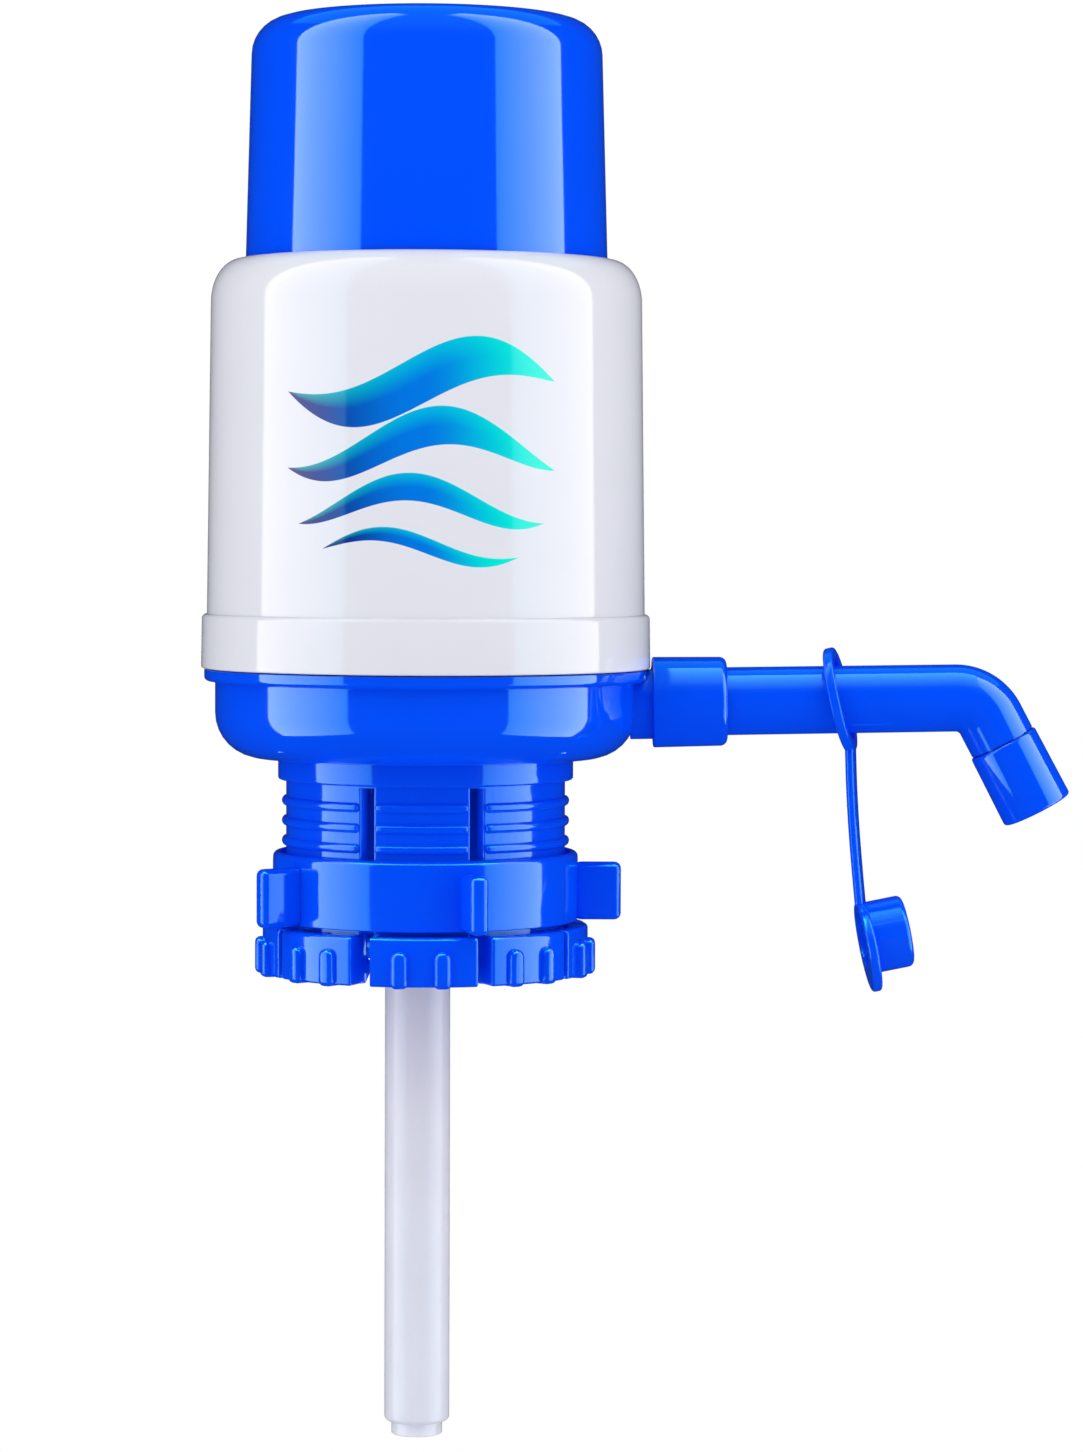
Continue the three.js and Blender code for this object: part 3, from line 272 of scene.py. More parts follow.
class TubeSizes(bpy.types.PropertyGroup):
    """Sizes of the dip tube."""

    radius: length("Radius", "Radius of the tube", 7.3)
    bore: length("Bore", "Radius inside the tube", 5.7)
    shoulder: length("Shoulder", "Rounding above the spigot", 1.2)
    spigot_radius: length("Spigot radius", "Radius of the spigot at the lower end", 5.7)
    spigot_length: length("Spigot length", "Length of the spigot", 2.9)
    spigot_wall: length("Spigot wall", "Thickness of the spigot", 1.2)


class SpoutSizes(bpy.types.PropertyGroup):
    """Sizes of the spout, its nut and its tip, along the spout from the axis of the pump."""

    nut_start: length("Nut start", "Where the spout nut starts", 50.5)
    nut_end: length("Nut end", "Where the spout nut ends", 67.1)
    nut_radius: length("Nut radius", "Radius of the spout nut at its root", 10.1)
    nut_tip_radius: length("Nut tip radius", "Radius of the spout nut at its outer end", 9.9)
    nut_corner: length("Nut corner", "Rounding of the outer end of the spout nut", 1.6)
    flange_radius: length("Flange radius", "Radius of the flange inside the nut", 8.2)
    flange_start: length("Flange start", "Where the flange starts", 63.1)
    flange_end: length("Flange end", "Where the flange ends", 64.8)
    radius: length("Radius", "Radius of the spout behind its nut", 7.6)
    bend_spout_radius: length("Radius at the bend", "Radius of the spout where its bend starts", 7.5)
    bore: length("Bore", "Radius of the water way", 5.5)
    bend_start: length("Bend start", "Where the bend starts", 118)
    bend_radius: length("Bend radius", "Radius of the bend along the middle of the spout", 8.8)
    bend_angle: angle_size("Bend", "How far the spout bends down", 63.2)
    outlet_run: length("Outlet run", "Straight length between the bend and the tip", 5.6)
    spigot_radius: length("Spigot radius", "Radius of the spigot inside the tip", 6.5)
    spigot_length: length("Spigot length", "Length of that spigot", 8)
    tip_length: length("Tip length", "Length of the tip", 16.9)
    tip_radius: length("Tip radius", "Radius of the tip", 8.1)
    tip_bevel: length("Tip bevel", "Rounding of the tip's edges", 0.7)
    tip_bore: length("Tip bore", "Radius of the mouth of the tip", 5.9)


class SpoutCapSizes(bpy.types.PropertyGroup):
    """Sizes of the loop, strap and cup that close the spout."""

    loop_place: length("Loop place", "Where the loop hangs, along the spout", 92.4)
    loop_hole: length("Loop hole", "Half of the width of the loop's hole", 8.3)
    loop_drop: length("Loop drop", "How much longer the hole is than it is wide", 2)
    loop_band: length("Loop band", "Width of the loop's band", 2.5)
    loop_thickness: length("Loop thickness", "Thickness of the loop's band", 2.2)
    strap_width: length("Strap width", "Width of the strap", 6)
    strap_thickness: length("Strap thickness", "Thickness of the strap", 2)
    strap_length: length("Strap length", "From the loop to the disc", 34.9)
    soft_edge: length("Soft edge", "Rounding of the loop's and the strap's edges", 0.85)
    disc_radius: length("Disc radius", "Radius of the disc", 10.2)
    disc_thickness: length("Disc thickness", "Thickness of the disc", 2.2)
    disc_offset: length("Disc offset", "How far the disc hangs beside the loop", 5.7)
    cup_rise: length("Cup rise", "How far the cup's axis lies above the middle of the disc", 1.9)
    cup_radius: length("Cup radius", "Radius of the cup", 8.05)
    cup_length: length("Cup length", "Length of the cup", 8.2)
    cup_bore: length("Cup bore", "Radius inside the cup", 6.6)
    cup_end: length("Cup end", "Thickness of the cup's end", 1.5)
    cup_corner: length("Cup corner", "Rounding of the cup's end", 1.3)


class InnerSizes(bpy.types.PropertyGroup):
    """Sizes of what the housing holds."""

    pusher_radius: length("Pusher radius", "Radius of the plate under the cap", 30.3)
    pusher_thickness: length("Pusher thickness", "Thickness of that plate", 2.4)
    plug_radius: length("Plug radius", "Radius of the plug that holds the bellows", 26.2)
    plug_wall: length("Plug wall", "Thickness of the plug", 2.4)
    plug_length: length("Plug length", "Length of the plug", 8)
    boss_radius: length("Boss radius", "Radius of the bosses that seat the spring", 10.71)
    boss_wall: length("Boss wall", "Thickness of those bosses", 2)
    boss_height: length("Boss height", "Height of those bosses", 4)
    plate_radius: length("Valve plate radius", "Radius of the valve plate", 44.7)
    bellows_peak: length("Bellows peak", "Radius of the bellows at its peaks", 34)
    bellows_valley: length("Bellows valley", "Radius of the bellows in its valleys", 27.5)
    bellows_wall: length("Bellows wall", "Thickness of the bellows", 1)
    bellows_flange: length("Bellows flange", "Radius of the flange of the bellows", 43.4)
    bellows_flange_thickness: length("Flange thickness", "Thickness of that flange", 1.6)
    folds: count("Folds", "Number of folds of the bellows", 8)
    ring_bore: length("Clamp ring bore", "Radius inside the clamp ring", 35.3)
    ring_radius: length("Clamp ring radius", "Radius of the clamp ring", 44)
    spring_radius: length("Spring radius", "Radius of the coil to the middle of its wire", 13)
    wire_radius: length("Wire radius", "Radius of the spring's wire", 0.9)
    turns: count("Turns", "Number of turns of the spring", 11)
    flap_radius: length("Flap radius", "Radius of the valve flaps", 8)
    flap_thickness: length("Flap thickness", "Thickness of the valve flaps", 1.2)
    post_radius: length("Post radius", "Radius of the posts that hold the flaps", 1.6)
    outlet_x: length("Outlet valve", "Where the outlet valve lies, along X", -22)


class FinishColours(bpy.types.PropertyGroup):
    """Colours of the pump."""

    blue: colour("Blue", "Moulded blue plastic", 0, 75, 244)
    white: colour("White", "Moulded white plastic of the housing", 215, 216, 225)
    tube: colour("Tube", "Tint of the dip tube", 243, 242, 254)
    inner: colour("Inner plastic", "Plastic of the inner pieces", 214, 216, 220)
    bellows: colour("Bellows", "Soft plastic of the bellows", 205, 222, 240)
    rubber: colour("Rubber", "Rubber of the seals and flaps", 34, 35, 38)
    steel: colour("Steel", "Steel of the spring and the screws", 176, 178, 182)
    print_dark: colour("Print, left", "Printed waves at their left ends", 6, 24, 120)
    print_middle: colour("Print, middle", "Printed waves in the middle", 0, 112, 214)
    print_light: colour("Print, right", "Printed waves at their right ends", 0, 226, 205)


class StageSettings(bpy.types.PropertyGroup):
    """The camera, the lamps, the floor and the cards that only reflections see."""

    camera_x: length("Camera X", "Place of the camera beside the pump", 25.8)
    camera_distance: length("Camera distance", "From the pump to the camera", 958)
    camera_height: length("Camera height", "Height of the camera above the seat", 57)
    camera_pitch: angle_size("Camera pitch", "How far the camera looks down", 2.74)
    camera_roll: angle_size("Camera roll", "Turn of the camera about its line of sight", 0.2)
    lens: number("Lens", "Focal length for a picture side of 36 mm", 106.6)
    floor_height: length("Floor height", "Height of the floor", -300)
    world_light: number("World light", "Strength of the light from all round", 0.26)
    side_light: number("Side lamps", "Brightness of the lamps beside the pump", 1.33)
    top_light: number("Top lamp", "Brightness of the lamp above the pump", 1.8)
    back_light: number("Back lamp", "Brightness of the lamp behind the pump", 1.5)
    side_shine: number("Side reflections", "Brightness of the cards beside the pump", 4.6)
    spout_shine: number("Spout reflection", "Brightness of the card above the spout", 3.8)
    edge_shine: number("Edge reflection", "Brightness of the card that the collar and the nut reflect", 16)
    floor_glow: number("Floor glow", "What the camera's view adds to the floor", 0.36)
    sky_shine: number("Sky reflection", "Brightness of the card high above", 0.75)
    tent_shine: number("Tent", "Brightness of the dark tent in reflections", 0.03)


class PumpSettings(bpy.types.PropertyGroup):
    """All that the panel shows."""

    cap: PointerProperty(type=CapSizes)
    housing: PointerProperty(type=HousingSizes)
    base: PointerProperty(type=BaseSizes)
    collar: PointerProperty(type=CollarSizes)
    nut: PointerProperty(type=NutSizes)
    tube: PointerProperty(type=TubeSizes)
    spout: PointerProperty(type=SpoutSizes)
    spout_cap: PointerProperty(type=SpoutCapSizes)
    inner: PointerProperty(type=InnerSizes)
    colours: PointerProperty(type=FinishColours)
    stage: PointerProperty(type=StageSettings)


# Modelling helpers


def select_only(*pieces):
    """Leaves edit mode and selects these objects alone, the last one active."""
    if bpy.context.mode != "OBJECT":
        bpy.ops.object.mode_set(mode="OBJECT")
    bpy.ops.object.select_all(action="DESELECT")
    for piece in pieces:
        piece.select_set(True)
        bpy.context.view_layer.objects.active = piece


def rounded(corners):
    """The points of an outline of (radius, height, rounding) corners, with each corner rounded."""
    points = []
    for i, (radius, height, rounding) in enumerate(corners):
        here = Vector((radius, height))
        if not rounding or i in (0, len(corners) - 1):
            points.append(here)
            continue
        back = (Vector(corners[i - 1][:2]) - here).normalized()
        ahead = (Vector(corners[i + 1][:2]) - here).normalized()
        half = back.angle(ahead) / 2
        centre = here + (back + ahead).normalized() * rounding / sin(half)
        start = here + back * rounding / tan(half) - centre
        turn = start.angle_signed(here + ahead * rounding / tan(half) - centre)
        steps = max(2, round(abs(turn) / ARC_STEP))
        points += [centre + Matrix.Rotation(-turn * k / steps, 2) @ start for k in range(steps + 1)]
    return points


def oval(centre, reach, height, start, end, steps):
    """Points of an oval arc in (radius, height), as sharp corners for an outline."""
    angles = [radians(start + (end - start) * k / steps) for k in range(steps + 1)]
    return [(centre[0] + reach * cos(a), centre[1] + height * sin(a), 0) for a in angles]


def full_oval(centre, reach, height, steps):
    """Points all round an oval, in the same form."""
    return oval(centre, reach, height, 0, 360, steps)[:-1]


def draw(name, points, closed):
    """A new object in edit mode with a line through these points of the XZ plane."""
    select_only()
    bpy.ops.mesh.primitive_plane_add(size=MM)
    piece = bpy.context.object
    piece.name = name
    bpy.ops.object.mode_set(mode="EDIT")
    bpy.ops.mesh.merge(type="CENTER")
    line = [Vector((x, 0, z)) for x, z in points]
    bpy.ops.transform.translate(value=line[0])
    for here, there in zip(line, line[1:] + line[:1] * closed):
        bpy.ops.mesh.extrude_vertices_move(TRANSFORM_OT_translate={"value": there - here})
    bpy.ops.mesh.select_all(action="SELECT")
    bpy.ops.mesh.remove_doubles(threshold=MERGE_DISTANCE)
    return piece


def tidy_solid():
    """Merges what lies together in the mesh being edited and turns its faces outwards."""
    bpy.ops.mesh.select_all(action="SELECT")
    bpy.ops.mesh.remove_doubles(threshold=MERGE_DISTANCE)
    bpy.ops.mesh.normals_make_consistent(inside=False)
    bpy.ops.object.mode_set(mode="OBJECT")


def turned(name, corners, steps=BODY_STEPS, closed=True):
    """A solid turned about Z from an outline of (radius, height, rounding) corners.
    An open outline starts and ends on the axis."""
    piece = draw(name, rounded(corners + corners[:1] if closed else corners), closed)
    bpy.ops.mesh.spin(steps=steps, angle=FULL_TURN, center=(0, 0, 0), axis=(0, 0, 1))
    tidy_solid()
    return piece


def rod(name, radius, start, end, steps=SMALL_STEPS, edge=0.0):
    """A round bar along Z."""
    corners = [(0, start, 0), (radius, start, edge), (radius, end, edge), (0, end, 0)]
    return turned(name, corners, steps, closed=False)


def tube(name, bore, radius, start, end, steps=SMALL_STEPS, edge=0.0):
    """A round tube along Z."""
    corners = [(bore, start, edge), (radius, start, edge), (radius, end, edge), (bore, end, edge)]
    return turned(name, [(bore, (start + end) / 2, 0)] + corners, steps)


def slab(name, points, thickness, edge=0.0, edge_steps=3):
    """A plate whose outline of (x, z) points lies in the XZ plane, centred on it, with rounded edges."""
    piece = draw(name, points, True)
    bpy.ops.mesh.edge_face_add()
    bpy.ops.transform.translate(value=(0, -thickness / 2, 0))
    bpy.ops.mesh.extrude_region_move(TRANSFORM_OT_translate={"value": (0, thickness, 0)})
    tidy_solid()
    if edge:
        soften(piece, edge, edge_steps)
    return piece


def soften(piece, width, steps=2, angle=40):
    """Rounds the edges that turn by more than an angle."""
    modifier = piece.modifiers.new("Rounded edges", "BEVEL")
    modifier.width = width
    modifier.segments = steps
    modifier.limit_method = "ANGLE"
    modifier.angle_limit = radians(angle)
    apply(piece, modifier)


def apply(piece, modifier):
    """Makes a modifier part of the mesh."""
    select_only(piece)
    bpy.ops.object.modifier_apply(modifier=modifier.name)


def placed(piece, matrix):
    """Moves a piece's mesh, and leaves its object at the origin."""
    select_only(piece)
    piece.matrix_world = matrix
    bpy.ops.object.transform_apply(location=True, rotation=True, scale=True)
    return piece


def copies(piece, matrices):
    """Copies of a piece, each with its own mesh."""
    made = []
    for matrix in matrices:
        select_only(piece)
        bpy.ops.object.duplicate()
        made.append(placed(bpy.context.object, matrix))
    return made


def delete(*pieces):
    """Removes objects with their meshes."""
    meshes = [piece.data for piece in pieces]
    select_only(*pieces)
    bpy.ops.object.delete()
    for mesh in meshes:
        bpy.data.meshes.remove(mesh)


def boolean(piece, others, operation):
    """Adds other solids to a piece or cuts them out of it, one by one."""
    for other in others:
        modifier = piece.modifiers.new(operation.title(), "BOOLEAN")
        modifier.operation = operation
        modifier.solver = "MANIFOLD"
        modifier.object = other
        apply(piece, modifier)
    delete(*others)
    return piece


def add(piece, *others):
    """Joins solids that reach into a piece to it."""
    return boolean(piece, others, "UNION")


def cut(piece, *others):
    """Cuts solids out of a piece."""
    return boolean(piece, others, "DIFFERENCE")


def turns(angles, distance=0.0):
    """Matrices that move a feature out along X and turn it about Z to each angle."""
    return [Matrix.Rotation(angle, 4, "Z") @ Matrix.Translation((distance, 0, 0)) for angle in angles]


def around(piece, angles, distance=0.0):
    """Copies of a feature on a circle, in place of the first."""
    made = copies(piece, turns(angles, distance))
    delete(piece)
    return made


def finished(piece, name, material, slot, body, *nodes):
    """Names, shades, paints and seats a piece that stands for CAD nodes."""
    select_only(piece)
    bpy.ops.object.shade_smooth_by_angle(angle=SMOOTH_ANGLE)
    piece.name = name
    piece.data.name = name
    piece.data.materials.clear()
    piece.data.materials.append(material)
    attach(piece, body)
    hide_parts(*nodes)
    return piece


# Material helpers


def new_group(name, inputs, outputs):
    """An empty shader node group with named sockets, and its input and output nodes."""
    group = bpy.data.node_groups.new(name, "ShaderNodeTree")
    for title, kind, default in inputs:
        socket = group.interface.new_socket(name=title, in_out="INPUT", socket_type=kind)
        if default is not None:
            socket.default_value = default
    for title, kind in outputs:
        group.interface.new_socket(name=title, in_out="OUTPUT", socket_type=kind)
    return group, group.nodes.new("NodeGroupInput"), group.nodes.new("NodeGroupOutput")


def feed(tree, given, socket):
    """Links another node's output to a socket, or sets the socket to a plain value."""
    if isinstance(given, bpy.types.NodeSocket):
        tree.links.new(given, socket)
    else:
        socket.default_value = given


def maths(tree, operation, *values, clamp=False):
    """The output of a Math node. Each value is a number or another node's output."""
    node = tree.nodes.new("ShaderNodeMath")
    node.operation = operation
    node.use_clamp = clamp
    for value, socket in zip(values, node.inputs):
        feed(tree, value, socket)
    return node.outputs[0]


def noise(tree, where, scale, detail=2.0, roughness=0.5):
    """The output of a Noise Texture at a place in object space."""
    node = tree.nodes.new("ShaderNodeTexNoise")
    node.inputs["Detail"].default_value = detail
    node.inputs["Roughness"].default_value = roughness
    feed(tree, where, node.inputs["Vector"])
    feed(tree, scale, node.inputs["Scale"])
    return node.outputs["Fac"]


def remap(tree, value, low, high, new_low, new_high):
    """The output of a Map Range node."""
    node = tree.nodes.new("ShaderNodeMapRange")
    feed(tree, value, node.inputs["Value"])
    for title, given in (("From Min", low), ("From Max", high), ("To Min", new_low), ("To Max", new_high)):
        feed(tree, given, node.inputs[title])
    return node.outputs["Result"]


def mix_colours(tree, blend, share, first, second):
    """The output of a colour Mix node."""
    node = tree.nodes.new("ShaderNodeMix")
    node.data_type = "RGBA"
    node.blend_type = blend
    colour_sockets = [socket for socket in node.inputs if socket.type == "RGBA"]
    for given, socket in zip((share, first, second), (node.inputs[0], *colour_sockets)):
        feed(tree, given, socket)
    return next(socket for socket in node.outputs if socket.type == "RGBA")


# Scales of the moulded skin's patterns, per metre
CLOUD_SCALE = 55
SMUDGE_SCALE = 140
WAVE_SCALE = 38
GRAIN_SCALE = 2600
CLOUD_RANGE = (0.3, 0.7)  # of the noise that turns from the darkest tone to the plain one


def moulded_skin():
    """Shader group: the skin of a moulded piece, with slow waves, fine grain and a faint mottle."""
    name = "Moulded skin"
    if name in bpy.data.node_groups:
        return bpy.data.node_groups[name]
    inputs = [
        ("Color", "NodeSocketColor", (1, 1, 1, 1)),
        ("Mottle", "NodeSocketFloat", 0.04),
        ("Roughness", "NodeSocketFloat", 0.1),
        ("Roughness variation", "NodeSocketFloat", 0.05),
        ("Wave height", "NodeSocketFloat", 0.02),
        ("Grain height", "NodeSocketFloat", 0.001),
    ]
    outputs = [("Color", "NodeSocketColor"), ("Roughness", "NodeSocketFloat"), ("Normal", "NodeSocketVector")]
    group, given, result = new_group(name, inputs, outputs)
    where = group.nodes.new("ShaderNodeTexCoord").outputs["Object"]
    cloud = noise(group, where, CLOUD_SCALE, detail=3)
    darkest = maths(group, "SUBTRACT", 1, given.outputs["Mottle"])
    lightness = remap(group, cloud, *CLOUD_RANGE, darkest, 1)
    shade = group.nodes.new("ShaderNodeCombineColor")
    for channel in range(3):
        group.links.new(lightness, shade.inputs[channel])
    painted = mix_colours(group, "MULTIPLY", 1.0, given.outputs["Color"], shade.outputs[0])
    group.links.new(painted, result.inputs["Color"])
    smudge = noise(group, where, SMUDGE_SCALE, detail=4, roughness=0.6)
    off_middle = maths(group, "SUBTRACT", smudge, 0.5)
    spread = maths(group, "MULTIPLY", off_middle, given.outputs["Roughness variation"])
    group.links.new(maths(group, "ADD", given.outputs["Roughness"], spread), result.inputs["Roughness"])
    wave_height = maths(group, "MULTIPLY", given.outputs["Wave height"], MM)
    wave = maths(group, "MULTIPLY", noise(group, where, WAVE_SCALE, detail=1), wave_height)
    grain_height = maths(group, "MULTIPLY", given.outputs["Grain height"], MM)
    grain = maths(group, "MULTIPLY", noise(group, where, GRAIN_SCALE, detail=2), grain_height)
    bump = group.nodes.new("ShaderNodeBump")
    bump.inputs["Distance"].default_value = 1.0
    group.links.new(maths(group, "ADD", wave, grain), bump.inputs["Height"])
    group.links.new(bump.outputs["Normal"], result.inputs["Normal"])
    return group


def moulded(name, base_colour, roughness, mottle=0.04, variation=0.04, wave=0.02, grain=0.0008, **sockets):
    """A material with the moulded skin on a Principled BSDF, whose other sockets are given by name."""
    if name in bpy.data.materials:
        return bpy.data.materials[name]
    material = bpy.data.materials.new(name)
    material.use_nodes = True
    material.diffuse_color = (*base_colour, 1)
    tree = material.node_tree
    shader = tree.nodes["Principled BSDF"]
    skin = tree.nodes.new("ShaderNodeGroup")
    skin.node_tree = moulded_skin()
    values = ((*base_colour, 1), mottle, roughness, variation, wave, grain)
    for socket, value in zip(skin.inputs, values):
        socket.default_value = value
    for output, title in zip(skin.outputs, ("Base Color", "Roughness", "Normal")):
        tree.links.new(output, shader.inputs[title])
    for title, value in sockets.items():
        shader.inputs[title.replace("_", " ")].default_value = value
    return material


SHINE_TINT = (0.85, 1, 1, 1)  # of the blue plastic's reflections
NECK_SHINE_TINT = (0.7, 1, 1, 1)  # of the collar's and the nut's reflections
SOFT_SHINE_TINT = (0.45, 1, 1, 1)  # of the strap cap's reflections
PALE_SHINE_TINT = (1, 0.58, 0.56, 1)  # of the pale plastics' reflections


def colours():
    """The colours set in the panel."""
    return bpy.context.scene.pump.colours


def blue_plastic():
    """Glossy blue plastic of the outer pieces."""
    return moulded(
        "Blue plastic", colours().blue, roughness=0.06,
        IOR=1.5, Specular_IOR_Level=0.9, Specular_Tint=SHINE_TINT,
    )


def shaded_neck_plastic():
    """Blue plastic of the collar and the nut, which shines less. It is a shaded copy of the blue plastic: its
    weaker shine is painted shade, standing in for the shade of the bowl that hangs over them.
    """
    return moulded(
        "Neck plastic, shaded", colours().blue, roughness=0.08,
        IOR=1.5, Specular_IOR_Level=0.72, Specular_Tint=NECK_SHINE_TINT,
    )


def soft_blue_plastic():
    """Softer blue of the strap cap."""
    return moulded(
        "Soft blue plastic", colours().blue, roughness=0.13, wave=0.05,
        IOR=1.5, Specular_IOR_Level=0.75, Specular_Tint=SOFT_SHINE_TINT,
    )


PRINT_BLUR = 0.08 * MM  # how far the edge of the print is blurred
WAVE_TITLES = ("Height", "Amplitude", "Length", "Phase", "Thickness", "Reach")


def wave_band():
    """Shader group: one printed wave on the front of the housing, tapered to both ends."""
    name = "Wave band"
    if name in bpy.data.node_groups:
        return bpy.data.node_groups[name]
    inputs = [(title, "NodeSocketFloat", None) for title in (*WAVE_TITLES, "Barrel radius")]
    outputs = [("Mask", "NodeSocketFloat"), ("Across", "NodeSocketFloat"), ("Along", "NodeSocketFloat")]
    group, given, result = new_group(name, inputs, outputs)
    value = given.outputs
    split = group.nodes.new("ShaderNodeSeparateXYZ")
    group.links.new(group.nodes.new("ShaderNodeTexCoord").outputs["Object"], split.inputs[0])
    turn = maths(group, "ARCTAN2", split.outputs["X"], maths(group, "MULTIPLY", split.outputs["Y"], -1))
    place = maths(group, "MULTIPLY", turn, value["Barrel radius"])
    cycle = maths(group, "ADD", maths(group, "DIVIDE", place, value["Length"]), value["Phase"])
    swing = maths(group, "SINE", maths(group, "MULTIPLY", cycle, FULL_TURN))
    middle = maths(group, "ADD", value["Height"], maths(group, "MULTIPLY", swing, value["Amplitude"]))
    share = maths(group, "DIVIDE", place, value["Reach"])
    taper = maths(group, "SUBTRACT", 1, maths(group, "MULTIPLY", share, share), clamp=True)
    half = maths(group, "MULTIPLY", maths(group, "MULTIPLY", taper, value["Thickness"]), 0.5)
    off = maths(group, "SUBTRACT", split.outputs["Z"], middle)
    room = maths(group, "SUBTRACT", half, maths(group, "ABSOLUTE", off))
    group.links.new(maths(group, "DIVIDE", room, PRINT_BLUR, clamp=True), result.inputs["Mask"])
    group.links.new(maths(group, "DIVIDE", off, maths(group, "MAXIMUM", half, MM)), result.inputs["Across"])
    group.links.new(remap(group, share, -1, 1, 0, 1), result.inputs["Along"])
    return group


WAVES = (  # in millimetres, with the phase in turns
    (86, 5.5, 66, 0.02, 11, 31),
    (72, 5, 60, 0.16, 8.5, 31),
    (60, 4, 54, 0.3, 6, 28),
    (51, 3, 48, 0.44, 3.6, 22),
)
WAVE_LIGHT = 0.45  # how far the upper side of a wave turns to its light colour
INK_SHARES = (0.05, 0.5, 0.95)  # where along a wave its three colours lie


def white_plastic():
    """Glossy white plastic of the housing, with printed waves in front."""
    name = "White plastic"
    if name in bpy.data.materials:
        return bpy.data.materials[name]
    material = moulded(
        name, colours().white, roughness=0.08, mottle=0.015,
        IOR=1.5, Specular_IOR_Level=0.66, Specular_Tint=PALE_SHINE_TINT,
    )
    tree = material.node_tree
    shader = tree.nodes["Principled BSDF"]
    painted = shader.inputs["Base Color"].links[0].from_socket
    barrel = bpy.context.scene.pump.housing.wall_radius
    for wave in WAVES:
        band = tree.nodes.new("ShaderNodeGroup")
        band.node_tree = wave_band()
        for title, value in zip(WAVE_TITLES, wave):
            band.inputs[title].default_value = value if title == "Phase" else value * MM
        band.inputs["Barrel radius"].default_value = barrel
        ramp = tree.nodes.new("ShaderNodeValToRGB")
        ramp.color_ramp.interpolation = "EASE"
        stops = (colours().print_dark, colours().print_middle, colours().print_light)
        ramp.color_ramp.elements.new(INK_SHARES[1])
        for element, place, ink in zip(ramp.color_ramp.elements, INK_SHARES, stops):
            element.position = place
            element.color = (*ink, 1)
        tree.links.new(band.outputs["Along"], ramp.inputs[0])
        light = maths(tree, "MULTIPLY", maths(tree, "MAXIMUM", band.outputs["Across"], 0), WAVE_LIGHT)
        ink = mix_colours(tree, "MIX", light, ramp.outputs[0], (*colours().print_light, 1))
        painted = mix_colours(tree, "MIX", band.outputs["Mask"], painted, ink)
    tree.links.new(painted, shader.inputs["Base Color"])
    return material


def tube_plastic():
    """Translucent plastic of the dip tube."""
    return moulded(
        "Tube plastic", colours().tube, roughness=0.2, mottle=0.03, wave=0.05,
        IOR=1.5, Transmission_Weight=0.3, Specular_Tint=PALE_SHINE_TINT,
    )


def inner_plastic():
    """Plain plastic of the plates inside."""
    return moulded("Inner plastic", colours().inner, roughness=0.32, grain=0.003)


def bellows_plastic():
    """Soft plastic of the bellows."""
    return moulded(
        "Bellows plastic", colours().bellows, roughness=0.35, grain=0.003,
        Transmission_Weight=0.1,
    )


def rubber():
    """Black rubber of the seals and flaps."""
    return moulded("Rubber", colours().rubber, roughness=0.55, mottle=0.15, variation=0.2, grain=0.004)


def steel():
    """Bright steel of the spring and the screws."""
    return moulded(
        "Steel", colours().steel, roughness=0.25, mottle=0.1, variation=0.2, wave=0.0, grain=0.002,
        Metallic=1.0,
    )


# Pieces


class MakePushCap(bpy.types.Operator):
    """Model the dome that the hand presses"""

    bl_idname = "pump.push_cap"
    bl_label = "Push cap"

    def execute(self, context):
        sizes = context.scene.pump.cap
        lip_top = CAP_FOOT + sizes.lip_thickness
        inner_corner = sizes.corner - sizes.wall
        inner_foot = sizes.mouth_radius - sizes.wall
        inner_top = sizes.top_radius - sizes.wall
        ceiling = CAP_TOP - sizes.top_wall
        cap = turned("push_cap", [
            (0, CAP_TOP - sizes.gate_depth, 0),
            (sizes.gate_radius, CAP_TOP - sizes.gate_depth, sizes.gate_depth),
            (sizes.gate_radius + sizes.gate_depth, CAP_TOP, sizes.gate_depth / 2),
            (sizes.top_radius, CAP_TOP, sizes.corner),
            (sizes.mouth_radius, lip_top, BROAD_EDGE),
            (sizes.lip_radius, lip_top, BROAD_EDGE),
            (sizes.lip_radius, CAP_FOOT, BROAD_EDGE),
            (inner_foot, CAP_FOOT, BROAD_EDGE),
            (inner_top, ceiling, inner_corner),
            (0, ceiling, 0),
        ], closed=False)
        finished(cap, "push_cap_shell", blue_plastic(), "blue_plastic", "plunger", "push_cap")
        return {"FINISHED"}


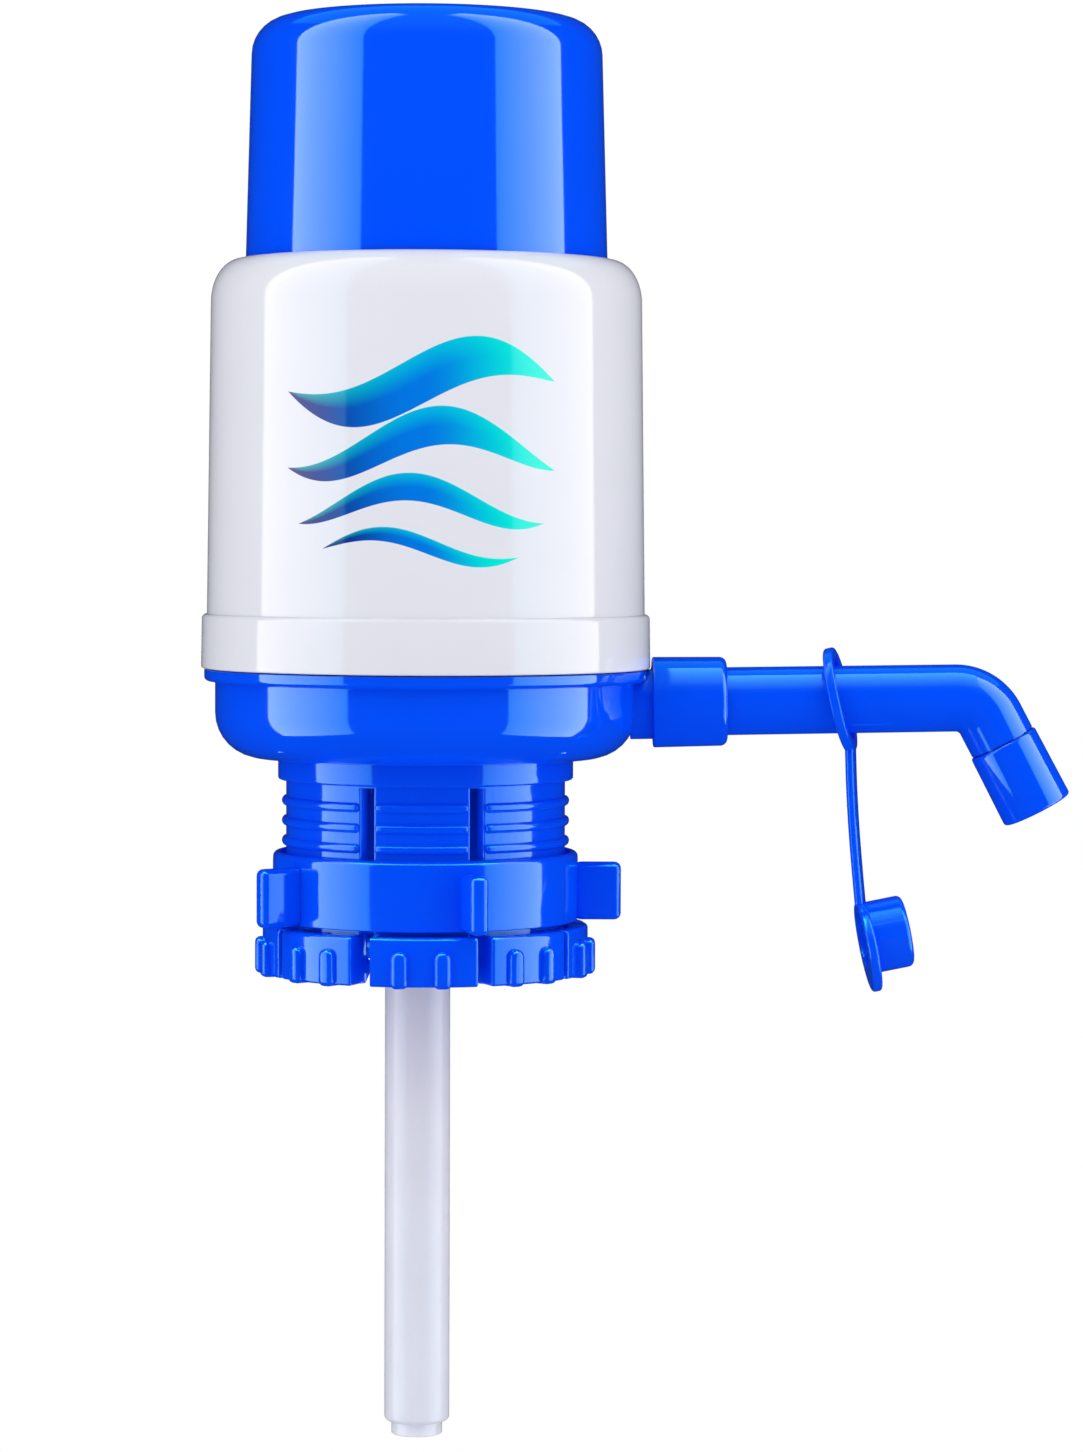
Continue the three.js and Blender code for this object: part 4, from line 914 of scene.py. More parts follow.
class MakeHousing(bpy.types.Operator):
    """Model the white shell with its skirt and shoulder"""

    bl_idname = "pump.housing"
    bl_label = "Housing"

    edge = 0.5 * MM
    wall_fillet = 0.25 * MM  # between the skirt and the wall
    groove_height = 3.65 * MM  # from the foot to the groove for the base's bead
    groove_width = 2 * MM
    step_height = 9.45 * MM  # from the foot to the step inside the skirt
    shoulder_steps = 14

    def execute(self, context):
        sizes = context.scene.pump.housing
        base = context.scene.pump.base
        edge = self.edge
        skirt_top = HOUSING_FOOT + sizes.skirt_height
        shoulder = MOUTH - sizes.shoulder_height
        shoulder_radius = sizes.wall_top_radius - sizes.shoulder_reach
        mouth_radius = shoulder_radius - sizes.mouth_bevel
        stop = MOUTH - sizes.lip_thickness
        skirt_bore = base.rim_radius + CLEARANCE
        groove_radius = base.rim_radius + base.snap_reach + CLEARANCE
        groove_foot = HOUSING_FOOT + self.groove_height
        groove_top = groove_foot + self.groove_width
        inside_step = HOUSING_FOOT + self.step_height
        reach, height = sizes.shoulder_reach, sizes.shoulder_height
        shell = turned("housing", [
            (skirt_bore, HOUSING_FOOT, edge / 2),
            (sizes.skirt_radius, HOUSING_FOOT, edge),
            (sizes.skirt_top_radius, skirt_top, sizes.step_round),
            (sizes.wall_radius, skirt_top, self.wall_fillet),
            *oval((shoulder_radius, shoulder), reach, height, 0, 90, self.shoulder_steps),
            (mouth_radius, MOUTH, sizes.mouth_bevel),
            (mouth_radius, stop, 0),
            (sizes.lip_room, stop, edge),
            (sizes.wall_top_radius - sizes.wall, shoulder, edge),
            (sizes.wall_radius - sizes.wall, inside_step, edge / 2),
            (skirt_bore, inside_step, 0),
            (skirt_bore, groove_top, 0),
            (groove_radius, groove_top, edge / 2),
            (groove_radius, groove_foot, edge / 2),
            (skirt_bore, groove_foot, 0),
        ])
        finished(shell, "housing", white_plastic(), "white_plastic", "pump_body", "housing_shell")
        return {"FINISHED"}


class MakeBase(bpy.types.Operator):
    """Model the bowl with its flange, rim, pillars, tower, duct and stub"""

    bl_idname = "pump.base"
    bl_label = "Base bowl"

    bead_height = 4.2 * MM  # from the flange to the snap bead
    bead_width = 1.4 * MM
    riser_radius = 5 * MM  # of the way from the dip tube up to the duct
    seal_groove_radius = 9.4 * MM
    pillar_hole_foot = 12.8 * MM  # height where the holes in the pillars end
    air_hole_angles = [radians(angle) for angle in (90, 180, 270)]

    def shell(self, sizes):
        """The turned bowl with its flange and rim."""
        floor_under = BASE_FOOT + sizes.recess_depth
        floor_top = floor_under + sizes.floor
        flange_under = high_z("base_bowl") - sizes.rim_height - sizes.flange_thickness
        flange_top = flange_under + sizes.flange_thickness
        rim_top = high_z("base_bowl")
        bead_foot = flange_top + self.bead_height
        bead_top = bead_foot + self.bead_width
        bead = sizes.rim_radius + sizes.snap_reach
        bore = sizes.bowl_radius - sizes.wall
        return turned("base", [
            (0, floor_under, 0),
            (sizes.recess_radius, floor_under, FINE_EDGE),
            (sizes.recess_radius, BASE_FOOT, FINE_EDGE),
            (sizes.bowl_radius, BASE_FOOT, sizes.bowl_corner),
            (sizes.bowl_radius, flange_under, EDGE),
            (sizes.flange_radius, flange_under, sizes.flange_corner),
            (sizes.flange_radius, flange_top, FINE_EDGE),
            (sizes.rim_radius, flange_top, FINE_EDGE),
            (sizes.rim_radius, bead_foot, 0),
            (bead, (bead_foot + bead_top) / 2, BROAD_EDGE),
            (sizes.rim_radius, bead_top, 0),
            (sizes.rim_radius, rim_top, BROAD_EDGE),
            (sizes.rim_bore, rim_top, BROAD_EDGE),
            (sizes.rim_bore, flange_top, 0),
            (bore, flange_top, 0),
            (bore, floor_top, sizes.bowl_corner - sizes.wall),
            (0, floor_top, 0),
        ], closed=False)

    def execute(self, context):
        sizes = context.scene.pump.base
        tube_sizes = context.scene.pump.tube
        floor_under = BASE_FOOT + sizes.recess_depth
        floor_top = floor_under + sizes.floor
        flange_top = high_z("base_bowl") - sizes.rim_height
        bowl = self.shell(sizes)
        wall_middle = sizes.bowl_radius - sizes.wall / 2
        spout_axis = SPOUT_FRAME.translation.z
        tower = rod("tower", sizes.tower_radius, floor_top - OVERLAP, spout_axis + sizes.duct_radius)
        duct = rod("duct", sizes.duct_radius, TUBE_X, wall_middle)
        stub = rod("stub", sizes.stub_radius, wall_middle, sizes.stub_end, edge=EDGE)
        placed(tower, Matrix.Translation((TUBE_X, 0, 0)))
        along_spout = SPOUT_FRAME @ ALONG_X
        placed(duct, along_spout)
        placed(stub, along_spout)
        skirt = context.scene.pump.housing.skirt_radius + CLEARANCE
        trim = rod("trim", skirt, flange_top, flange_top + 2 * sizes.stub_radius, BODY_STEPS)
        cut(stub, trim)
        pillar = rod("pillar", sizes.pillar_radius, floor_top - OVERLAP, flange_top, SCREW_STEPS)
        pillars = around(pillar, SCREW_ANGLES, sizes.pillar_circle)
        add(bowl, tower, duct, stub, *pillars)

        socket_top = high_z("dip_tube") + CLEARANCE
        socket = rod("socket", tube_sizes.radius + CLEARANCE, BASE_FOOT - OVERRUN, socket_top)
        riser = rod("riser", self.riser_radius, floor_under, spout_axis + sizes.duct_bore)
        groove_foot = low_z("tube_seal") - CLEARANCE
        groove_top = high_z("tube_seal") + CLEARANCE
        groove = rod("groove", self.seal_groove_radius, groove_foot, groove_top)
        for cutter in (socket, riser, groove):
            placed(cutter, Matrix.Translation((TUBE_X, 0, 0)))
        water_way = rod("water_way", sizes.duct_bore, TUBE_X, sizes.stub_end + OVERRUN)
        placed(water_way, along_spout)
        hole_top = flange_top + OVERRUN
        screw_hole = rod("screw_hole", CLAMP_HOLE_RADIUS, self.pillar_hole_foot, hole_top, SCREW_STEPS)
        through = (BASE_FOOT - OVERRUN, floor_top + OVERRUN, SCREW_STEPS)
        collar_hole = rod("collar_hole", COLLAR_HOLE_RADIUS, *through)
        air_hole = rod("air_hole", sizes.air_hole, *through)
        holes = around(screw_hole, SCREW_ANGLES, sizes.pillar_circle)
        holes += around(collar_hole, SCREW_ANGLES, COLLAR_SCREW_CIRCLE)
        holes += around(air_hole, self.air_hole_angles, sizes.air_circle)
        cut(bowl, socket, riser, groove, water_way, *holes)
        finished(bowl, "base", blue_plastic(), "blue_plastic", "pump_body", "base_bowl")
        return {"FINISHED"}


class MakeCollar(bpy.types.Operator):
    """Model the neck collar with its ridged fingers, and its gasket"""

    bl_idname = "pump.collar"
    bl_label = "Neck collar"

    disc_thickness = 2.2 * MM
    ring_under = -0.7 * MM  # height of the ring's underside
    ring_fillet = 0.15 * MM
    wall_drop = 0.4 * MM  # how far the ring's wall reaches down to the fingers
    seam = 0.03 * MM  # keeps the ring's faces off the fingers' faces
    bead_height = 2.7 * MM  # from the foot to the grip bead
    bead_width = 2 * MM
    bead_slope = 1 * MM  # height of the slope above the bead
    block_root = 0.8 * MM  # how far a foot block reaches into its finger
    block_edge_share = 0.75  # of the blocks' lower edge, for their upright edges
    ridge_edge_share = 0.8  # of the ridges' reach, for their ends
    ridge_steps = 20
    rib_steps = 12
    rib_start = 0.4 * MM  # from the fingers' outside to the root of a rib
    boss_radius = 2.9 * MM
    boss_foot = -5 * MM
    hole_foot = -3.9 * MM
    gasket_bore = 23.7 * MM

    def bar(self, name, outline, first, last):
        """A bar turned about Z from one angle to another."""
        piece = draw(name, outline, True)
        bpy.ops.mesh.edge_face_add()
        steps = round((last - first) * COLLAR_STEPS / FULL_TURN)
        bpy.ops.mesh.spin(steps=steps, angle=first - last, center=(0, 0, 0), axis=(0, 0, 1))
        tidy_solid()
        return placed(piece, Matrix.Rotation(first, 4, "Z"))

    def trim(self, piece, angle, side, radius, inset, slant=0.0):
        """Cuts the end off a bar along an upright plane, an inset short of the angle at the radius."""
        out = Vector((cos(angle), sin(angle), 0))
        onward = Vector((-sin(angle), cos(angle), 0)) * side
        select_only(piece)
        bpy.ops.object.mode_set(mode="EDIT")
        bpy.ops.mesh.select_all(action="SELECT")
        bpy.ops.mesh.bisect(
            plane_co=out * radius - onward * inset, plane_no=onward * cos(slant) + out * sin(slant),
            use_fill=True, clear_outer=True, clear_inner=False,
        )
        tidy_solid()

    def leaf(self, sizes, ring_under, half):
        """The wall of one finger with its grip bead, to both sides of +X."""
        foot_under = COLLAR_FOOT + sizes.rib_drop
        bead_foot = foot_under + self.bead_height
        bead_top = bead_foot + self.bead_width
        corner = BROAD_EDGE
        leaf = self.bar("leaf", rounded([
            (sizes.bore, ring_under + OVERLAP, 0),
            (sizes.bore, bead_top + self.bead_slope, corner),
            (sizes.bead_radius, bead_top, corner),
            (sizes.bead_radius, bead_foot, corner),
            (sizes.bore + corner, foot_under, corner),
            (sizes.finger_radius, foot_under, 0),
            (sizes.finger_radius, ring_under + OVERLAP, 0),
        ]), -half, half)
        for side in (1, -1):
            self.trim(leaf, side * half, side, sizes.finger_radius, sizes.gap / 2, sizes.gap_slant)
        soften(leaf, sizes.edge, steps=2, angle=50)
        return leaf

    def block(self, sizes, first, last):
        """One foot block. A side in the middle of a finger is a side of its notch."""
        root = sizes.finger_radius - self.block_root
        foot_under = COLLAR_FOOT + sizes.rib_drop
        foot_top = foot_under + sizes.foot_height
        block = self.bar("block", rounded([
            (root, foot_under, 0),
            (sizes.foot_radius, foot_under, sizes.foot_edge),
            (sizes.foot_radius, foot_top, sizes.foot_corner),
            (root, foot_top, 0),
        ]), first, last)
        for angle, side in ((first, -1), (last, 1)):
            inset = (sizes.foot_gap if angle else sizes.foot_notch) / 2
            self.trim(block, angle, side, sizes.foot_radius, inset)
        soften(block, self.block_edge_share * sizes.foot_edge, steps=3, angle=50)
        return block

    def ridge(self, sizes, height, half):
        """A half-round bar along the finger with rounded ends."""
        middle = (sizes.finger_radius, height)
        corners = full_oval(middle, sizes.ridge_reach, sizes.ridge_width / 2, self.ridge_steps)
        points = [(x, z) for x, z, _ in corners]
        ridge = self.bar("ridge", points, -half, half)
        soften(ridge, self.ridge_edge_share * sizes.ridge_reach, steps=4, angle=60)
        return ridge

    def finger(self, sizes, ring_under, angle, blocks):
        """One finger along +X, an angle wide from gap to gap, with its ridges, foot blocks and ribs."""
        half = angle / 2
        sides = [-half + angle * k / blocks for k in range(blocks + 1)]
        features = [self.block(sizes, first, last) for first, last in zip(sides, sides[1:])]
        for k in range(blocks):
            middle = -half + angle * (k + 0.5) / blocks
            rib_angles = [middle - sizes.rib_angle, middle + sizes.rib_angle]
            features += around(self.rib(sizes), rib_angles, sizes.finger_radius)
        ridge_half = half - (sizes.gap / 2 + sizes.ridge_margin) / sizes.finger_radius
        for k in range(sizes.ridges):
            height = ring_under - sizes.first_ridge - sizes.ridge_pitch * k
            features.append(self.ridge(sizes, height, ridge_half))
        return add(self.leaf(sizes, ring_under, half), *features)

    def rib(self, sizes):
        """An upright rib with a round top, drawn out along +X from the finger's wall."""
        half = sizes.rib_width / 2
        top = COLLAR_FOOT + sizes.rib_height - half
        points = [(-half, COLLAR_FOOT), (half, COLLAR_FOOT)]
        points += [(x, z) for x, z, _ in oval((0, top), half, half, 0, 180, self.rib_steps)]
        reach = sizes.foot_radius - sizes.finger_radius + sizes.rib_reach - self.rib_start
        rib = slab("rib", points, reach, sizes.rib_edge, edge_steps=4)
        return placed(rib, Matrix.Translation((self.rib_start + reach / 2, 0, 0)) @ QUARTER_ABOUT_Z)

    def front_cutter(self, sizes):
        """What widens the gap on the left side of the front foot."""
        inside = sizes.finger_radius
        outside = sizes.foot_radius + OVERRUN
        low = COLLAR_FOOT - OVERRUN
        high = COLLAR_FOOT + sizes.rib_drop + sizes.foot_height + OVERLAP
        width = sizes.foot_gap / 2 + sizes.front_cut
        cutter = slab("cutter", [(inside, low), (outside, low), (outside, high), (inside, high)], width)
        placed(cutter, Matrix.Translation((0, width / 2, 0)))
        return placed(cutter, Matrix.Rotation(FRONT - sizes.narrow_angle / 2, 4, "Z"))

    def execute(self, context):
        sizes = context.scene.pump.collar
        top = high_z("neck_collar")
        disc_under = top - self.disc_thickness
        wall_end = self.ring_under - self.wall_drop
        wall_inside = sizes.bore - self.seam
        wall_outside = sizes.finger_radius + self.seam
        collar = turned("collar", [
            (sizes.disc_bore, top, FINE_EDGE),
            (sizes.disc_bore, disc_under, FINE_EDGE),
            (wall_inside, disc_under, 0),
            (wall_inside, wall_end, 0),
            (wall_outside, wall_end, 0),
            (wall_outside, self.ring_under, self.ring_fillet),
            (sizes.ring_radius, self.ring_under, sizes.ring_bevel),
            (sizes.ring_radius, top, EDGE),
        ])
        boss = rod("boss", self.boss_radius, self.boss_foot, disc_under + OVERLAP, SCREW_STEPS, EDGE)
        set_angle = FULL_TURN / sizes.finger_sets
        wide_angle = set_angle - sizes.narrow_angle
        narrow = self.finger(sizes, wall_end, sizes.narrow_angle, 1)
        wide = self.finger(sizes, wall_end, wide_angle, 2)
        fingers = around(narrow, [FRONT + set_angle * k for k in range(sizes.finger_sets)])
        fingers += around(wide, [FRONT + set_angle * (k + 0.5) for k in range(sizes.finger_sets)])
        add(collar, *around(boss, SCREW_ANGLES, COLLAR_SCREW_CIRCLE), *fingers)
        hole = rod("hole", COLLAR_HOLE_RADIUS, self.hole_foot, top + OVERRUN, SCREW_STEPS)
        cut(collar, self.front_cutter(sizes), *around(hole, SCREW_ANGLES, COLLAR_SCREW_CIRCLE))
        finished(collar, "collar", shaded_neck_plastic(), "blue_plastic", "pump_body", "neck_collar")

        low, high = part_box("neck_gasket")
        gasket = tube("gasket", self.gasket_bore, high.x, low.z, high.z, BODY_STEPS, BROAD_EDGE)
        finished(gasket, "gasket", rubber(), "rubber", "pump_body", "neck_gasket")
        return {"FINISHED"}


class MakeLockNut(bpy.types.Operator):
    """Model the winged nut that closes the fingers"""

    bl_idname = "pump.lock_nut"
    bl_label = "Lock nut"

    edge = 0.35 * MM
    wing_root = 0.9 * MM  # how far a wing reaches into the nut
    first_wing = radians(-90 + 17.4)  # the front wing's angle

    def execute(self, context):
        sizes = context.scene.pump.nut
        middle = (NUT_FOOT + NUT_TOP) / 2
        nut = turned("nut", [
            (sizes.bore, NUT_FOOT, self.edge),
            (sizes.radius - sizes.taper, NUT_FOOT, self.edge),
            (sizes.radius, middle, 0),
            (sizes.radius - sizes.taper, NUT_TOP, sizes.corner),
            (sizes.bore, NUT_TOP, self.edge),
        ])
        root = sizes.radius - self.wing_root
        wing_top = NUT_FOOT + sizes.wing_height
        outline = [
            (root, NUT_FOOT),
            (sizes.wing_reach, NUT_FOOT),
            (sizes.wing_reach, wing_top),
            (root, wing_top),
        ]
        wing = slab("wing", outline, sizes.wing_thickness, sizes.wing_edge, edge_steps=5)
        wing_angles = [self.first_wing + FULL_TURN * k / sizes.wings for k in range(sizes.wings)]
        add(nut, *around(wing, wing_angles))
        finished(nut, "winged_nut", shaded_neck_plastic(), "blue_plastic", "lock_nut_body", "lock_nut")
        return {"FINISHED"}


class MakeDipTube(bpy.types.Operator):
    """Model the translucent dip tube and its seal"""

    bl_idname = "pump.dip_tube"
    bl_label = "Dip tube"

    seal_radius = 8.35 * MM  # to the middle of the seal's section

    def execute(self, context):
        sizes = context.scene.pump.tube
        top = high_z("dip_tube")
        foot = low_z("dip_tube")
        shoulder = foot + sizes.spigot_length
        spigot_bore = sizes.spigot_radius - sizes.spigot_wall
        step = shoulder + sizes.radius - sizes.bore
        pipe = turned("tube", [
            (sizes.bore, top, EDGE),
            (sizes.radius, top, EDGE),
            (sizes.radius, shoulder, sizes.shoulder),
            (sizes.spigot_radius, shoulder, 0),
            (sizes.spigot_radius, foot, EDGE),
            (spigot_bore, foot, EDGE),
            (spigot_bore, step, 0),
            (sizes.bore, step, 0),
        ], PIPE_STEPS)
        place = Matrix.Translation((TUBE_X, 0, 0))
        finished(placed(pipe, place), "tube", tube_plastic(), "clear_plastic", "pump_body", "dip_tube")
        low, high = low_z("tube_seal"), high_z("tube_seal")
        seal = ring_seal("seal", self.seal_radius, (low + high) / 2, (high - low) / 2)
        finished(placed(seal, place), "socket_seal", rubber(), "rubber", "pump_body", "tube_seal")
        return {"FINISHED"}


def ring_seal(name, radius, height, section):
    """A ring of round section about Z."""
    return turned(name, full_oval((radius, height), section, section, SEAL_STEPS), SMALL_STEPS)


def outlet_frame(sizes):
    """The frame at the end of the outlet run, whose Z runs out of the spout."""
    bend = Matrix.Translation((sizes.bend_start, 0, -sizes.bend_radius))
    bend = bend @ Matrix.Rotation(sizes.bend_angle, 4, "Y") @ Matrix.Translation((0, 0, sizes.bend_radius))
    return SPOUT_FRAME @ bend @ Matrix.Translation((sizes.outlet_run, 0, 0)) @ ALONG_X


class MakeSpout(bpy.types.Operator):
    """Model the bent spout, its nut, its seal and its tip"""

    bl_idname = "pump.spout"
    bl_label = "Spout"

    bend_steps = 20
    lip = 2 * MM  # thickness of the nut's outer end
    nut_edge = 0.5 * MM
    tip_taper = 0.2 * MM  # how much the tip narrows to its start
    seal_radius = 6.6 * MM  # to the middle of the seal's section
    seal_place = 62.1 * MM  # along the spout
    seal_section = 0.7 * MM

    def pipe(self, name, sizes, radius, bend_radius, start, past):
        """A bent bar: a disc drawn out along X, spun round the bend and drawn out again."""
        select_only()
        bpy.ops.mesh.primitive_circle_add(
            vertices=SMALL_STEPS, radius=radius, fill_type="NGON",
            location=(start, 0, 0), rotation=(0, radians(90), 0),
        )
        bar = bpy.context.object
        bar.name = name
        bpy.ops.object.transform_apply(location=True, rotation=True, scale=True)
        bpy.ops.object.mode_set(mode="EDIT")
        bpy.ops.mesh.select_all(action="SELECT")
        bpy.ops.mesh.extrude_region_move(TRANSFORM_OT_translate={"value": (sizes.bend_start - start, 0, 0)})
        bpy.ops.transform.resize(
            value=(1, bend_radius / radius, bend_radius / radius), center_override=(sizes.bend_start, 0, 0)
        )
        centre = (sizes.bend_start, 0, -sizes.bend_radius)
        bpy.ops.mesh.spin(steps=self.bend_steps, angle=-sizes.bend_angle, center=centre, axis=(0, 1, 0))
        onward = Vector((cos(sizes.bend_angle), 0, -sin(sizes.bend_angle))) * past
        bpy.ops.mesh.extrude_region_move(TRANSFORM_OT_translate={"value": onward})
        tidy_solid()
        return placed(bar, SPOUT_FRAME)

    def execute(self, context):
        sizes = context.scene.pump.spout
        along_spout = SPOUT_FRAME @ ALONG_X
        outlet = outlet_frame(sizes)
        start = sizes.flange_start

        elbow = self.pipe("elbow", sizes, sizes.radius, sizes.bend_spout_radius, start, sizes.outlet_run)
        flange = rod("flange", sizes.flange_radius, start, sizes.flange_end, edge=FINE_EDGE)
        spigot = rod("spigot", sizes.spigot_radius, -OVERLAP * 2, sizes.spigot_length, edge=FINE_EDGE)
        add(elbow, placed(flange, along_spout), placed(spigot, outlet))
        past = sizes.outlet_run + sizes.spigot_length + OVERRUN
        cut(elbow, self.pipe("bore", sizes, sizes.bore, sizes.bore, start - OVERRUN, past))
        finished(elbow, "elbow", blue_plastic(), "blue_plastic", "spout", "spout_elbow")

        shelf = sizes.spigot_length + CLEARANCE
        end = CLEARANCE + sizes.tip_length
        socket = sizes.spigot_radius + CLEARANCE
        tip = turned("tip", [
            (socket, CLEARANCE, FINE_EDGE),
            (sizes.tip_radius - self.tip_taper, CLEARANCE, sizes.tip_bevel),
            (sizes.tip_radius, end, sizes.tip_bevel),
            (sizes.tip_bore, end, sizes.tip_bevel),
            (sizes.tip_bore, shelf, 0),
            (socket, shelf, 0),
        ], PIPE_STEPS)
        finished(placed(tip, outlet), "tip", blue_plastic(), "blue_plastic", "spout", "spout_tip")

        nut_bore = sizes.flange_radius + CLEARANCE
        lip = sizes.nut_end - self.lip
        neck = sizes.radius + CLEARANCE
        nut = turned("coupling", [
            (nut_bore, sizes.nut_start, FINE_EDGE),
            (sizes.nut_radius, sizes.nut_start, self.nut_edge),
            (sizes.nut_tip_radius, sizes.nut_end, sizes.nut_corner),
            (neck, sizes.nut_end, EDGE),
            (neck, lip, 0),
            (nut_bore, lip, 0),
        ], PIPE_STEPS)
        placed(nut, along_spout)
        finished(nut, "coupling_nut", blue_plastic(), "blue_plastic", "pump_body", "spout_nut")

        seal = ring_seal("spout_ring", self.seal_radius, self.seal_place, self.seal_section)
        finished(placed(seal, along_spout), "spout_ring", rubber(), "rubber", "pump_body", "spout_seal")
        return {"FINISHED"}


class MakeSpoutCap(bpy.types.Operator):
    """Model the loop, strap and cup that close the spout"""

    bl_idname = "pump.spout_cap"
    bl_label = "Spout cap"

    loop_yaw = radians(-11)  # turns about the pump's axis
    disc_yaw = radians(13.5)
    loop_lean = radians(-12)  # turns across the view
    disc_lean = radians(-10.3)
    strap_drift_shares = (0, 0.09, 0.3, 0.62, 1)  # how far the strap has moved aside, from loop to disc
    disc_edge = 0.7 * MM
    cup_floor_edge = 0.6 * MM
    loop_end_steps = 20
    strap_steps = 6  # between two places of the drift

    def stadium(self, half_width, drop):
        """Outline of a loop that is longer than it is wide."""
        end = oval((0, drop / 2), half_width, half_width, 0, 180, self.loop_end_steps)
        upper = [(x, z) for x, z, _ in end]
        return upper + [(-x, -z) for x, z in upper]

    def loop(self, sizes):
        """The band round the spout, upright across X."""
        outline = self.stadium(sizes.loop_hole + sizes.loop_band, sizes.loop_drop)
        band = slab("loop", outline, sizes.loop_thickness)
        cut(band, slab("hole", self.stadium(sizes.loop_hole, sizes.loop_drop), 3 * sizes.loop_thickness))
        soften(band, sizes.soft_edge, steps=4, angle=50)
        return placed(band, Matrix.Rotation(self.loop_lean, 4, "Y") @ QUARTER_ABOUT_Z)

    def strap(self, sizes, top, foot):
        """The strap from the loop to the disc, bent to one side."""
        last = len(self.strap_drift_shares) - 1
        knots = [Vector((top.x + (foot.x - top.x) * share, top.y + (foot.y - top.y) * i / last))
                 for i, share in enumerate(self.strap_drift_shares)]
        middle = smooth_line(knots, self.strap_steps)
        half = sizes.strap_thickness / 2
        points = [(p.x - half, p.y) for p in middle] + [(p.x + half, p.y) for p in reversed(middle)]
        return slab("strap", points, sizes.strap_width, sizes.soft_edge, edge_steps=4)

    def disc(self, sizes, place):
        """The disc with the cup and its hollow, whose axis lies along X."""
        face = sizes.disc_thickness / 2
        end = face + sizes.cup_length
        disc = rod("disc", sizes.disc_radius, -face, face, PIPE_STEPS, self.disc_edge)
        cup = turned("cup", [
            (0, 0, 0),
            (sizes.cup_radius, 0, 0),
            (sizes.cup_radius, end, sizes.cup_corner),
            (0, end, 0),
        ], PIPE_STEPS, closed=False)
        hollow = turned("hollow", [
            (0, -face - OVERRUN, 0),
            (sizes.cup_bore + OVERRUN, -face - OVERRUN, 0),
            (sizes.cup_bore, -face, BROAD_EDGE),
            (sizes.cup_bore, end - sizes.cup_end, self.cup_floor_edge),
            (0, end - sizes.cup_end, 0),
        ], PIPE_STEPS, closed=False)
        for part in (cup, hollow):
            placed(part, Matrix.Translation((-sizes.cup_rise, 0, 0)))
        cut(add(disc, cup), hollow)
        place = Matrix.Translation((place.x, 0, place.y))
        turn = Matrix.Rotation(self.disc_yaw, 4, "Z") @ Matrix.Rotation(self.disc_lean, 4, "Y")
        return placed(disc, place @ turn @ ALONG_X)

    def execute(self, context):
        sizes = context.scene.pump.spout_cap
        loop_reach = sizes.loop_hole + sizes.loop_drop / 2
        top_reach = loop_reach + sizes.loop_band / 2
        lean, tilt = -self.loop_lean, -self.disc_lean
        strap_top = Vector((top_reach * sin(lean), -top_reach * cos(lean)))
        disc_top_x = sizes.disc_offset - sizes.disc_radius * sin(tilt)
        disc_top = Vector((disc_top_x, strap_top.y - sizes.strap_length))
        disc_middle = Vector((sizes.disc_offset, disc_top.y - sizes.disc_radius * cos(tilt)))
        share = (sizes.disc_radius - sizes.cup_radius) / (2 * sizes.disc_radius)
        strap_foot = disc_top.lerp(disc_middle, share)
        cap = self.loop(sizes)
        add(cap, self.strap(sizes, strap_top, strap_foot), self.disc(sizes, disc_middle))
        frame_here = SPOUT_FRAME @ Matrix.Translation((sizes.loop_place, 0, 0))
        placed(cap, frame_here @ Matrix.Rotation(self.loop_yaw, 4, "Z"))
        finished(cap, "strap_cap", soft_blue_plastic(), "blue_silicone", "spout_cap_body", "spout_cap")
        return {"FINISHED"}


def smooth_line(knots, steps):
    """Points of a smooth line through knots, with a number of steps from each knot to the next."""
    knots = [2 * knots[0] - knots[1], *knots, 2 * knots[-1] - knots[-2]]
    points = []
    for a, b, c, d in zip(knots, knots[1:], knots[2:], knots[3:]):
        for k in range(steps):
            t = k / steps
            square = (2 * a - 5 * b + 4 * c - d) * t**2
            cube = (3 * b - a - 3 * c + d) * t**3
            points.append(0.5 * (2 * b + (c - a) * t + square + cube))
    return points + [knots[-2]]


